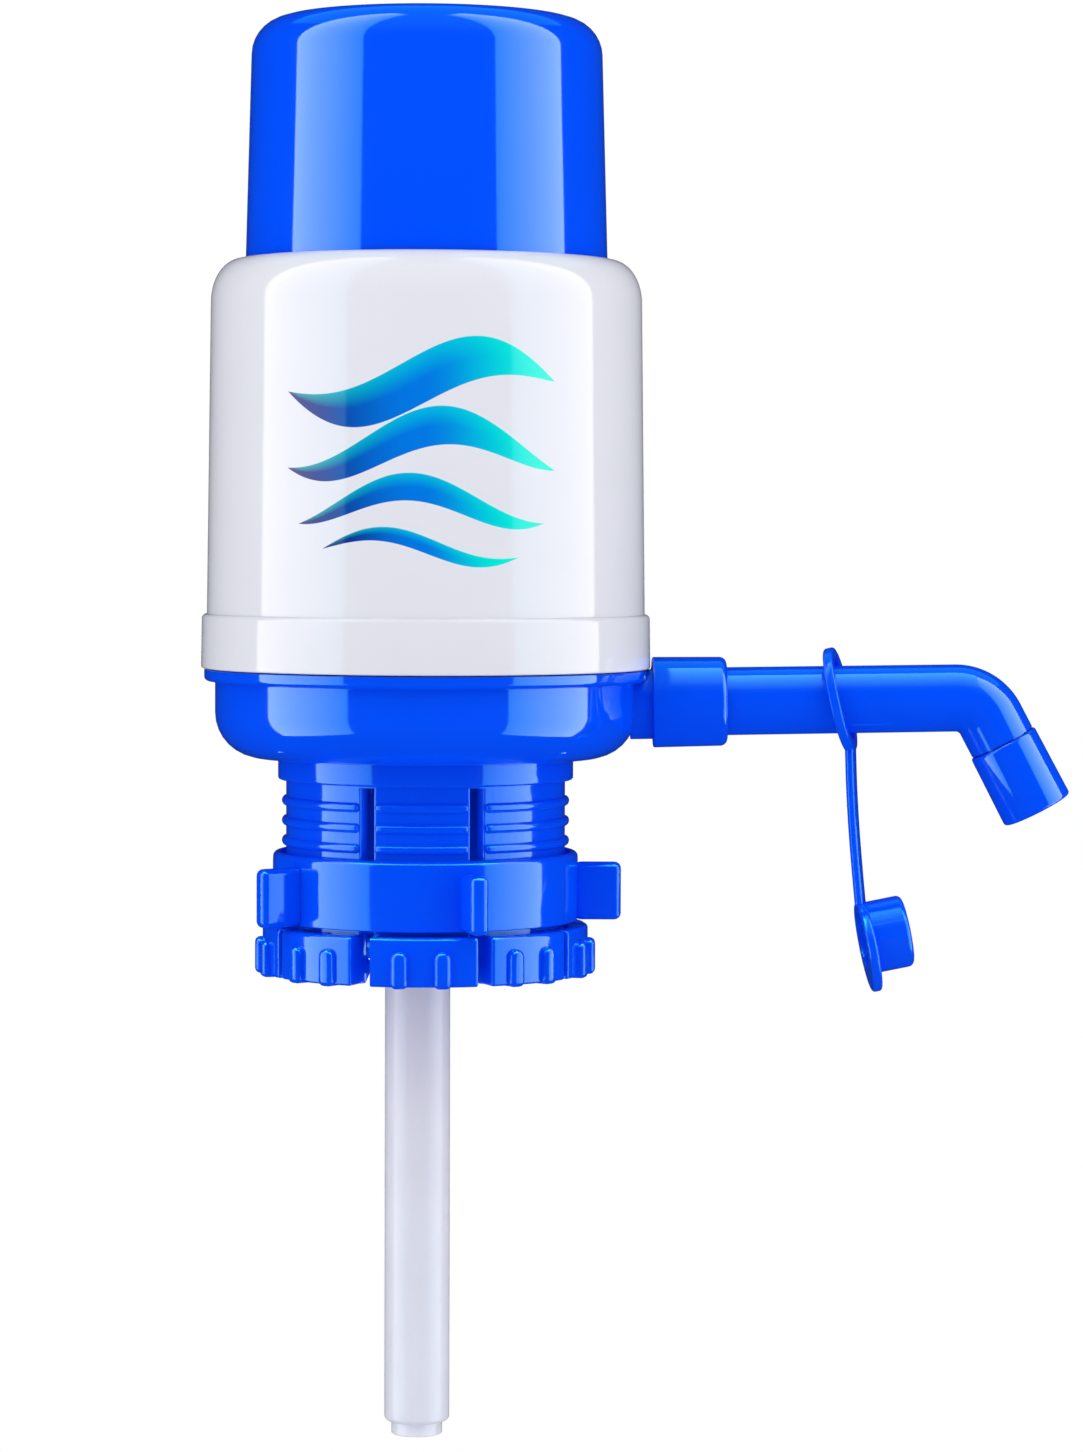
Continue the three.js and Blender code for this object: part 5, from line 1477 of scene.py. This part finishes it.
class MakePlates(bpy.types.Operator):
    """Model the pusher plate, the valve plate, the clamp ring and the valve flaps"""

    bl_idname = "pump.plates"
    bl_label = "Plates and valves"

    post_length = 3.3 * MM  # from the plate to the head
    post_head = 1.2 * MM
    post_edge = 0.5 * MM
    head_reach = 1 * MM  # how far the head stands out from the post
    head_edge = 0.15 * MM
    port_radius = 1.6 * MM
    port_circle = 5 * MM
    ports_round_post = 4

    def boss(self, sizes, start, end):
        """The boss that seats the spring."""
        return tube("boss", sizes.boss_radius - sizes.boss_wall, sizes.boss_radius, start, end, edge=EDGE)

    def post(self, sizes, face):
        """The mushroom post that holds a flap under a plate."""
        head_top = face - self.post_length
        head_foot = head_top - self.post_head
        return turned("post", [
            (0, head_foot, 0),
            (sizes.post_radius, head_foot, self.post_edge),
            (sizes.post_radius + self.head_reach, head_top, self.head_edge),
            (sizes.post_radius, head_top, 0),
            (sizes.post_radius, face + OVERLAP, 0),
            (0, face + OVERLAP, 0),
        ], SCREW_STEPS, closed=False)

    def ports(self, low, high, x):
        """Cutters for the ports round a post."""
        port = rod("port", self.port_radius, low - OVERRUN, high + OVERRUN, SCREW_STEPS)
        angles = [FULL_TURN * k / self.ports_round_post for k in range(self.ports_round_post)]
        made = around(port, angles, self.port_circle)
        return [placed(cutter, Matrix.Translation((x, 0, 0))) for cutter in made]

    def flap(self, sizes, face, x):
        """A rubber disc with a hole for the post."""
        top = face - CLEARANCE
        bore = sizes.post_radius + CLEARANCE
        disc = tube("flap", bore, sizes.flap_radius, top - sizes.flap_thickness, top, edge=EDGE)
        return placed(disc, Matrix.Translation((x, 0, 0)))

    def screw_holes(self, low, high):
        """Cutters for the clamp screws."""
        hole = rod("hole", CLAMP_HOLE_RADIUS, low - OVERRUN, high + OVERRUN, SCREW_STEPS)
        return around(hole, SCREW_ANGLES, bpy.context.scene.pump.base.pillar_circle)

    def execute(self, context):
        sizes = context.scene.pump.inner
        under = PUSHER_TOP - sizes.pusher_thickness
        pusher = rod("pusher", sizes.pusher_radius, under, PUSHER_TOP, BODY_STEPS, BROAD_EDGE)
        plug_bore = sizes.plug_radius - sizes.plug_wall
        plug_foot = under - sizes.plug_length
        plug = tube("plug", plug_bore, sizes.plug_radius, plug_foot, under + OVERLAP, BODY_STEPS, EDGE)
        boss = self.boss(sizes, under - sizes.boss_height, under + OVERLAP)
        add(pusher, plug, boss, self.post(sizes, under))
        cut(pusher, *self.ports(under, PUSHER_TOP, 0))
        finished(pusher, "pusher", inner_plastic(), "inner_plastic", "plunger", "pusher_plate")

        plate = rod("plate", sizes.plate_radius, PLATE_UNDER, PLATE_TOP, BODY_STEPS, EDGE)
        post = placed(self.post(sizes, PLATE_UNDER), Matrix.Translation((sizes.outlet_x, 0, 0)))
        add(plate, self.boss(sizes, PLATE_TOP - OVERLAP, PLATE_TOP + sizes.boss_height), post)
        ports = self.ports(PLATE_UNDER, PLATE_TOP, sizes.outlet_x)
        cut(plate, *ports, *self.screw_holes(PLATE_UNDER, PLATE_TOP))
        finished(plate, "outlet_plate", inner_plastic(), "inner_plastic", "pump_body", "valve_plate")

        ring = tube("ring", sizes.ring_bore, sizes.ring_radius, RING_UNDER, RING_TOP, BODY_STEPS, BROAD_EDGE)
        cut(ring, *self.screw_holes(RING_UNDER, RING_TOP))
        finished(ring, "clamp_ring", inner_plastic(), "inner_plastic", "pump_body", "bellows_clamp_ring")

        intake = self.flap(sizes, under, 0)
        finished(intake, "intake_flap", rubber(), "rubber", "intake_valve", "intake_valve_flap")
        outlet = self.flap(sizes, PLATE_UNDER, sizes.outlet_x)
        finished(outlet, "outlet_flap", rubber(), "rubber", "outlet_valve", "outlet_valve_flap")
        return {"FINISHED"}


class MakeBellows(bpy.types.Operator):
    """Model the folded bellows and the return spring"""

    bl_idname = "pump.bellows"
    bl_label = "Bellows and spring"

    fold_round = 1.3 * MM  # outer rounding of the folds
    end_pitch = 2.4 * MM  # of the spring's closed turns
    steps_per_turn = 40

    def squeeze(self, piece):
        """Gives a piece a mesh of its own."""
        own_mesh(piece)

    def bellows(self, sizes):
        """The foot flange, the folds and the sleeve round the plug."""
        low, high = low_z("air_bellows"), high_z("air_bellows")
        flange_top = low + sizes.bellows_flange_thickness
        sleeve_foot = PUSHER_TOP - sizes.pusher_thickness - sizes.plug_length
        pitch = (sleeve_foot - flange_top) / sizes.folds
        peak, valley, wall = sizes.bellows_peak, sizes.bellows_valley, sizes.bellows_wall
        outer, inner = self.fold_round, self.fold_round / 2
        outside, inside = [], []
        for fold in range(sizes.folds):
            foot = flange_top + pitch * fold
            middle = foot + pitch / 2
            outside += [(valley, foot, outer if fold else EDGE), (peak, middle, outer)]
            inside = [(peak - wall, middle, inner), (valley - wall, foot, inner)] + inside
        flange = sizes.bellows_flange
        body = turned("bellows", [
            (valley - wall, low, EDGE),
            (flange, low, EDGE),
            (flange, flange_top, EDGE),
            *outside,
            (valley, sleeve_foot, inner),
            (valley, high, EDGE),
            (valley - wall, high, EDGE),
            (valley - wall, sleeve_foot, inner),
            *inside,
        ], COLLAR_STEPS)
        hole = rod("hole", CLAMP_HOLE_RADIUS, low - OVERRUN, flange_top + OVERRUN, SCREW_STEPS)
        return cut(body, *around(hole, SCREW_ANGLES, bpy.context.scene.pump.base.pillar_circle))

    def spring(self, sizes):
        """A wire of round section wound in one unbroken line, closer at both ends."""
        foot = PLATE_TOP + CLEARANCE + sizes.wire_radius
        top = PUSHER_TOP - sizes.pusher_thickness - CLEARANCE - sizes.wire_radius
        open_turns = sizes.turns - 2
        open_pitch = (top - foot - 2 * self.end_pitch) / open_turns
        curve = bpy.data.curves.new("spring", "CURVE")
        curve.dimensions = "3D"
        curve.bevel_depth = sizes.wire_radius
        curve.bevel_resolution = 3
        curve.use_fill_caps = True
        line = curve.splines.new("POLY")
        line.points.add(sizes.turns * self.steps_per_turn)
        for i, point in enumerate(line.points):
            turn = i / self.steps_per_turn
            closed = min(turn, 1) + max(turn - 1 - open_turns, 0)
            height = foot + self.end_pitch * closed + open_pitch * (turn - closed)
            angle = FULL_TURN * turn
            point.co = (sizes.spring_radius * cos(angle), sizes.spring_radius * sin(angle), height, 1)
        spring = bpy.data.objects.new("spring", curve)
        bpy.context.scene.collection.objects.link(spring)
        select_only(spring)
        bpy.ops.object.convert(target="MESH")
        bpy.ops.object.mode_set(mode="EDIT")
        tidy_solid()
        return bpy.context.object

    def execute(self, context):
        sizes = context.scene.pump.inner
        body = self.bellows(sizes)
        finished(body, "bellows", bellows_plastic(), "bellows_plastic", "pump_body", "air_bellows")
        self.squeeze(body)
        spring = self.spring(sizes)
        finished(spring, "spring", steel(), "steel", "pump_body", "return_spring")
        self.squeeze(spring)
        return {"FINISHED"}


class MakeScrews(bpy.types.Operator):
    """Model the screws of the clamp ring and of the collar"""

    bl_idname = "pump.screws"
    bl_label = "Screws"

    head_height = 2 * MM
    point_length = 1.5 * MM
    point_edge = 0.1 * MM
    head_edge = 0.25 * MM
    blade_width = 0.6 * MM
    point_share = 0.5  # of the radius
    rim_share = 0.75  # of the head's height, where its side ends and its top begins
    rim_round_share = 0.4  # of the head's height
    crown_share = 0.45  # of the head's radius
    recess_share = 0.5  # of the head's radius
    recess_foot_share = 0.25  # of the head's height
    recess_taper_share = 0.35  # of the recess's reach, at its foot

    def screw(self, name, radius, head_radius, depth):
        """A pan head screw with a cross recess, its seat at height 0."""
        top = self.head_height
        rim = top * self.rim_share
        body = turned(name, [
            (0, -depth, 0),
            (radius * self.point_share, -depth, self.point_edge),
            (radius, -depth + self.point_length, 0),
            (radius, 0, 0),
            (head_radius, 0, self.head_edge),
            (head_radius, rim, top * self.rim_round_share),
            (head_radius * self.crown_share, top, EDGE),
            (0, top, 0),
        ], SCREW_STEPS, closed=False)
        half = head_radius * self.recess_share
        foot_half = half * self.recess_taper_share
        foot = top * self.recess_foot_share
        blade = slab("blade", [
            (-half, top + OVERRUN),
            (-half, rim),
            (-foot_half, foot),
            (foot_half, foot),
            (half, rim),
            (half, top + OVERRUN),
        ], self.blade_width)
        blades = around(blade, [0, radians(90)])
        return cut(body, *blades)

    def execute(self, context):
        base = context.scene.pump.base
        kinds = [
            ("clamp_screw", 1.6 * MM, 3 * MM, base.pillar_circle),
            ("collar_screw", 1.5 * MM, 2.8 * MM, COLLAR_SCREW_CIRCLE),
        ]
        for kind, radius, head_radius, circle in kinds:
            low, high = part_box(f"{kind}_1")
            seat = high.z - self.head_height
            screw = self.screw(kind, radius, head_radius, seat - low.z)
            placed(screw, Matrix.Translation((0, 0, seat)))
            for i, made in enumerate(around(screw, SCREW_ANGLES, circle)):
                finished(made, f"{kind}_{i + 1}_steel", steel(), "steel", "pump_body", f"{kind}_{i + 1}")
        return {"FINISHED"}


class MakeStage(bpy.types.Operator):
    """Set the camera, the world, the lamps, the floor and the cards that only reflections see"""

    bl_idname = "pump.stage"
    bl_label = "Stage"

    # A place is the turn from the camera to the right and the rise, in degrees, and then the distance.
    # Distances, widths and heights are in metres.
    side_centre = (0, 0, 0.06)
    left_place = (-65.5, 0, 0.7)
    left_lamp = (0.82, 1)
    left_card = (0.67, 4.46)
    right_place = (71.5, 0, 0.7)
    right_lamp = (0.86, 1)
    right_card = (0.68, 4.46)
    side_card_lift = 1.71
    top_place = (0, 59, 0.8)
    top_lamp = (1.2, 0.75)
    back_place = (180, 35, 0.9)
    back_lamp = (1.2, 1)
    spout_centre = (0.165, 0, 0.016)
    spout_place = (0, 69, 0.35)
    spout_card = (0.39, 0.23)
    spout_only = ("X", 0.052, 0.127)
    neck_centre = (0, 0, -0.03)
    neck_place = (0, 62, 0.7)
    neck_card = (0.51, 1.2)
    neck_only = ("Z", -1, -0.004)
    sky_centre = (0, -2.2, 4.1)
    sky_card = (11.3, 8.2)
    tent_size = 24
    floor_radius = 3
    floor_steps = 96
    fade_start = 0.3
    fade_end = 0.6

    # Colours, as red, green and blue from 0 to 1
    dark = (0, 0, 0)
    side_bright = (0.72, 1, 1)
    side_dim = (0.09, 0.42, 0.5)
    spout_bright = (0.22, 1, 1)
    neck_dim = (0.01, 0.08, 0.1)
    neck_bright = (0.1, 1, 1)
    sky_bright = (0.08, 1, 1)
    tent_blue = (0.3, 0.7, 1)
    floor_colour = (0.82, 0.82, 0.83, 1)

    def camera(self, stage):
        """The camera at the photograph's viewing angle."""
        data = bpy.data.cameras.new("Camera")
        data.lens = stage.lens
        data.sensor_width = 36
        data.clip_start = 0.01
        data.clip_end = 20
        camera = bpy.data.objects.new("Camera", data)
        bpy.context.scene.collection.objects.link(camera)
        bpy.context.scene.camera = camera
        camera.location = (stage.camera_x, -stage.camera_distance, stage.camera_height)
        look = Matrix.Rotation(radians(90) - stage.camera_pitch, 4, "X")
        camera.rotation_euler = (look @ Matrix.Rotation(stage.camera_roll, 4, "Z")).to_euler()

    def world(self, stage):
        """White for the camera, for reflections and through clear pieces, and a plain level of light."""
        world = bpy.data.worlds.new("Studio")
        bpy.context.scene.world = world
        world.use_nodes = True
        tree = world.node_tree
        background = tree.nodes["Background"]
        background.inputs["Color"].default_value = (1, 1, 1, 1)
        rays = tree.nodes.new("ShaderNodeLightPath").outputs
        seen = maths(tree, "MAXIMUM", rays["Is Camera Ray"], rays["Is Glossy Ray"])
        seen = maths(tree, "MAXIMUM", seen, rays["Is Transmission Ray"])
        tree.links.new(remap(tree, seen, 0, 1, stage.world_light, 1), background.inputs["Strength"])

    def facing(self, azimuth, elevation, distance, centre=(0, 0, 0)):
        """The place of what faces a point of the pump. Azimuth is counted from the camera, to the right."""
        turn, rise = radians(azimuth), radians(elevation)
        away = Vector((sin(turn) * cos(rise), -cos(turn) * cos(rise), sin(rise)))
        turned_to_pump = away.to_track_quat("Z", "Y").to_matrix().to_4x4()
        return Matrix.Translation(Vector(centre) + away * distance) @ turned_to_pump

    def lamp(self, name, place, width, height, level):
        """A soft lamp that reflections don't show, whose level is its brightness per area."""
        data = bpy.data.lights.new(name, "AREA")
        data.shape = "RECTANGLE"
        data.size = width
        data.size_y = height
        data.energy = level * pi * width * height
        lamp = bpy.data.objects.new(name, data)
        bpy.context.scene.collection.objects.link(lamp)
        lamp.matrix_world = place
        lamp.visible_camera = False
        lamp.visible_glossy = False
        lamp.visible_transmission = False

    def seen_from(self, tree, axis, low, high):
        """A gate that is 1 for rays that start between two places along an axis, wherever the camera is."""
        geometry = tree.nodes.new("ShaderNodeNewGeometry")
        reach = tree.nodes.new("ShaderNodeVectorMath")
        reach.operation = "MULTIPLY_ADD"
        feed(tree, geometry.outputs["Incoming"], reach.inputs[0])
        feed(tree, tree.nodes.new("ShaderNodeLightPath").outputs["Ray Length"], reach.inputs[1])
        feed(tree, geometry.outputs["Position"], reach.inputs[2])
        split = tree.nodes.new("ShaderNodeSeparateXYZ")
        feed(tree, reach.outputs[0], split.inputs[0])
        past_low = maths(tree, "GREATER_THAN", split.outputs[axis], low)
        short_of_high = maths(tree, "LESS_THAN", split.outputs[axis], high)
        return maths(tree, "MULTIPLY", past_low, short_of_high)

    def reflected(self, piece, strength, start, end, gate=None):
        """Makes a piece glow in reflections alone, from one colour at its left to another.
        With a gate, it is clear for rays that start outside."""
        material = bpy.data.materials.new(piece.name)
        material.use_nodes = True
        tree = material.node_tree
        tree.nodes.remove(tree.nodes["Principled BSDF"])
        emission = tree.nodes.new("ShaderNodeEmission")
        emission.inputs["Strength"].default_value = strength
        split = tree.nodes.new("ShaderNodeSeparateXYZ")
        tree.links.new(tree.nodes.new("ShaderNodeTexCoord").outputs["Object"], split.inputs[0])
        share = remap(tree, split.outputs["X"], -0.5, 0.5, 0, 1)
        tree.links.new(mix_colours(tree, "MIX", share, (*start, 1), (*end, 1)), emission.inputs["Color"])
        glow = emission.outputs[0]
        if gate:
            mix = tree.nodes.new("ShaderNodeMixShader")
            tree.links.new(self.seen_from(tree, *gate), mix.inputs["Fac"])
            tree.links.new(tree.nodes.new("ShaderNodeBsdfTransparent").outputs[0], mix.inputs[1])
            tree.links.new(glow, mix.inputs[2])
            glow = mix.outputs[0]
        tree.links.new(glow, tree.nodes["Material Output"].inputs["Surface"])
        piece.data.materials.append(material)
        piece.visible_camera = False
        piece.visible_diffuse = False
        piece.visible_shadow = False
        piece.visible_transmission = False

    def card(self, name, place, width, height, strength, start, end, gate=None):
        """A card that only reflections see."""
        select_only()
        bpy.ops.mesh.primitive_plane_add(size=1)
        card = bpy.context.object
        card.name = name
        card.matrix_world = place @ Matrix.Diagonal((width, height, 1, 1))
        self.reflected(card, strength, start, end, gate)

    def tent(self, level):
        """A dark tent all round, which only reflections see."""
        select_only()
        bpy.ops.mesh.primitive_cube_add(size=self.tent_size)
        tent = bpy.context.object
        tent.name = "Tent"
        self.reflected(tent, level, self.tent_blue, self.tent_blue)

    def floor(self, stage):
        """A pale round floor that fades to the white of the world."""
        select_only()
        bpy.ops.mesh.primitive_circle_add(
            vertices=self.floor_steps, radius=self.floor_radius, fill_type="NGON",
            location=(0, 0, stage.floor_height),
        )
        floor = bpy.context.object
        floor.name = "Floor"
        bpy.ops.object.transform_apply(location=True, rotation=True, scale=True)
        material = bpy.data.materials.new("Floor")
        material.use_nodes = True
        tree = material.node_tree
        shader = tree.nodes["Principled BSDF"]
        shader.inputs["Base Color"].default_value = self.floor_colour
        shader.inputs["Roughness"].default_value = 0.9
        shader.inputs["Emission Color"].default_value = (1, 1, 1, 1)
        camera_ray = tree.nodes.new("ShaderNodeLightPath").outputs["Is Camera Ray"]
        glow = maths(tree, "MULTIPLY", camera_ray, stage.floor_glow)
        tree.links.new(glow, shader.inputs["Emission Strength"])
        where = tree.nodes.new("ShaderNodeTexCoord").outputs["Object"]
        split = tree.nodes.new("ShaderNodeSeparateXYZ")
        tree.links.new(where, split.inputs[0])
        squares = [maths(tree, "MULTIPLY", split.outputs[axis], split.outputs[axis]) for axis in ("X", "Y")]
        radius = maths(tree, "SQRT", maths(tree, "ADD", *squares))
        fade = remap(tree, radius, self.fade_start, self.fade_end, 0, 1)
        white = tree.nodes.new("ShaderNodeEmission")
        mix = tree.nodes.new("ShaderNodeMixShader")
        tree.links.new(fade, mix.inputs["Fac"])
        tree.links.new(shader.outputs[0], mix.inputs[1])
        tree.links.new(white.outputs[0], mix.inputs[2])
        tree.links.new(mix.outputs[0], tree.nodes["Material Output"].inputs["Surface"])
        floor.data.materials.append(material)
        floor.visible_glossy = False

    def execute(self, context):
        stage = context.scene.pump.stage
        context.scene.view_settings.view_transform = "Standard"
        self.camera(stage)
        self.world(stage)
        left = self.facing(*self.left_place, self.side_centre)
        right = self.facing(*self.right_place, self.side_centre)
        self.lamp("Left lamp", left, *self.left_lamp, stage.side_light)
        self.lamp("Right lamp", right, *self.right_lamp, stage.side_light)
        self.lamp("Top lamp", self.facing(*self.top_place), *self.top_lamp, stage.top_light)
        self.lamp("Back lamp", self.facing(*self.back_place), *self.back_lamp, stage.back_light)
        lifted = Matrix.Translation((0, 0, self.side_card_lift))
        over_spout = self.facing(*self.spout_place, self.spout_centre) @ QUARTER_ABOUT_Z
        over_neck = self.facing(*self.neck_place, self.neck_centre) @ QUARTER_ABOUT_Z
        sky = Matrix.Translation(self.sky_centre) @ QUARTER_ABOUT_Z
        bright, dim = self.side_bright, self.side_dim
        cards = (
            ("Left shine", lifted @ left, self.left_card, stage.side_shine, bright, dim),
            ("Right shine", lifted @ right, self.right_card, stage.side_shine, dim, bright),
            ("Spout shine", over_spout, self.spout_card, stage.spout_shine, self.dark, self.spout_bright),
            ("Edge shine", over_neck, self.neck_card, stage.edge_shine, self.neck_dim, self.neck_bright),
            ("Sky shine", sky, self.sky_card, stage.sky_shine, self.dark, self.sky_bright),
        )
        gates = {"Spout shine": self.spout_only, "Edge shine": self.neck_only}
        for name, place, (width, height), strength, start, end in cards:
            self.card(name, place, width, height, strength, start, end, gates.get(name))
        self.tent(stage.tent_shine)
        self.floor(stage)
        return {"FINISHED"}


PIECES = (
    MakePushCap,
    MakeHousing,
    MakeBase,
    MakeCollar,
    MakeLockNut,
    MakeDipTube,
    MakeSpout,
    MakeSpoutCap,
    MakePlates,
    MakeBellows,
    MakeScrews,
    MakeStage,
)


class PumpPanel(bpy.types.Panel):
    """The pump's pieces and sizes in the sidebar of the 3D view"""

    bl_idname = "VIEW3D_PT_pump"
    bl_label = "Hand pump"
    bl_space_type = "VIEW_3D"
    bl_region_type = "UI"
    bl_category = "Hand pump"

    def draw(self, context):
        """Lists the operators, and then the settings of each group."""
        for maker in PIECES:
            self.layout.operator(maker.bl_idname)
        settings = context.scene.pump
        for group_name in PumpSettings.__annotations__:
            group = getattr(settings, group_name)
            box = self.layout.box()
            box.label(text=group_name.replace("_", " ").title())
            for size_name in type(group).__annotations__:
                box.prop(group, size_name)


GROUPS = (
    CapSizes,
    HousingSizes,
    BaseSizes,
    CollarSizes,
    NutSizes,
    TubeSizes,
    SpoutSizes,
    SpoutCapSizes,
    InnerSizes,
    FinishColours,
    StageSettings,
    PumpSettings,
)


def register():
    """Registers the settings, the operators and the panel."""
    for made in (*GROUPS, *PIECES, PumpPanel):
        bpy.utils.register_class(made)
    bpy.types.Scene.pump = PointerProperty(type=PumpSettings)


def unregister():
    """Takes them away again."""
    del bpy.types.Scene.pump
    for made in reversed((*GROUPS, *PIECES, PumpPanel)):
        bpy.utils.unregister_class(made)


def main():
    """Makes every piece and the stage."""
    register()
    for maker in PIECES:
        folder, name = maker.bl_idname.split(".")
        getattr(getattr(bpy.ops, folder), name)()


if __name__ == "__main__":
    main()
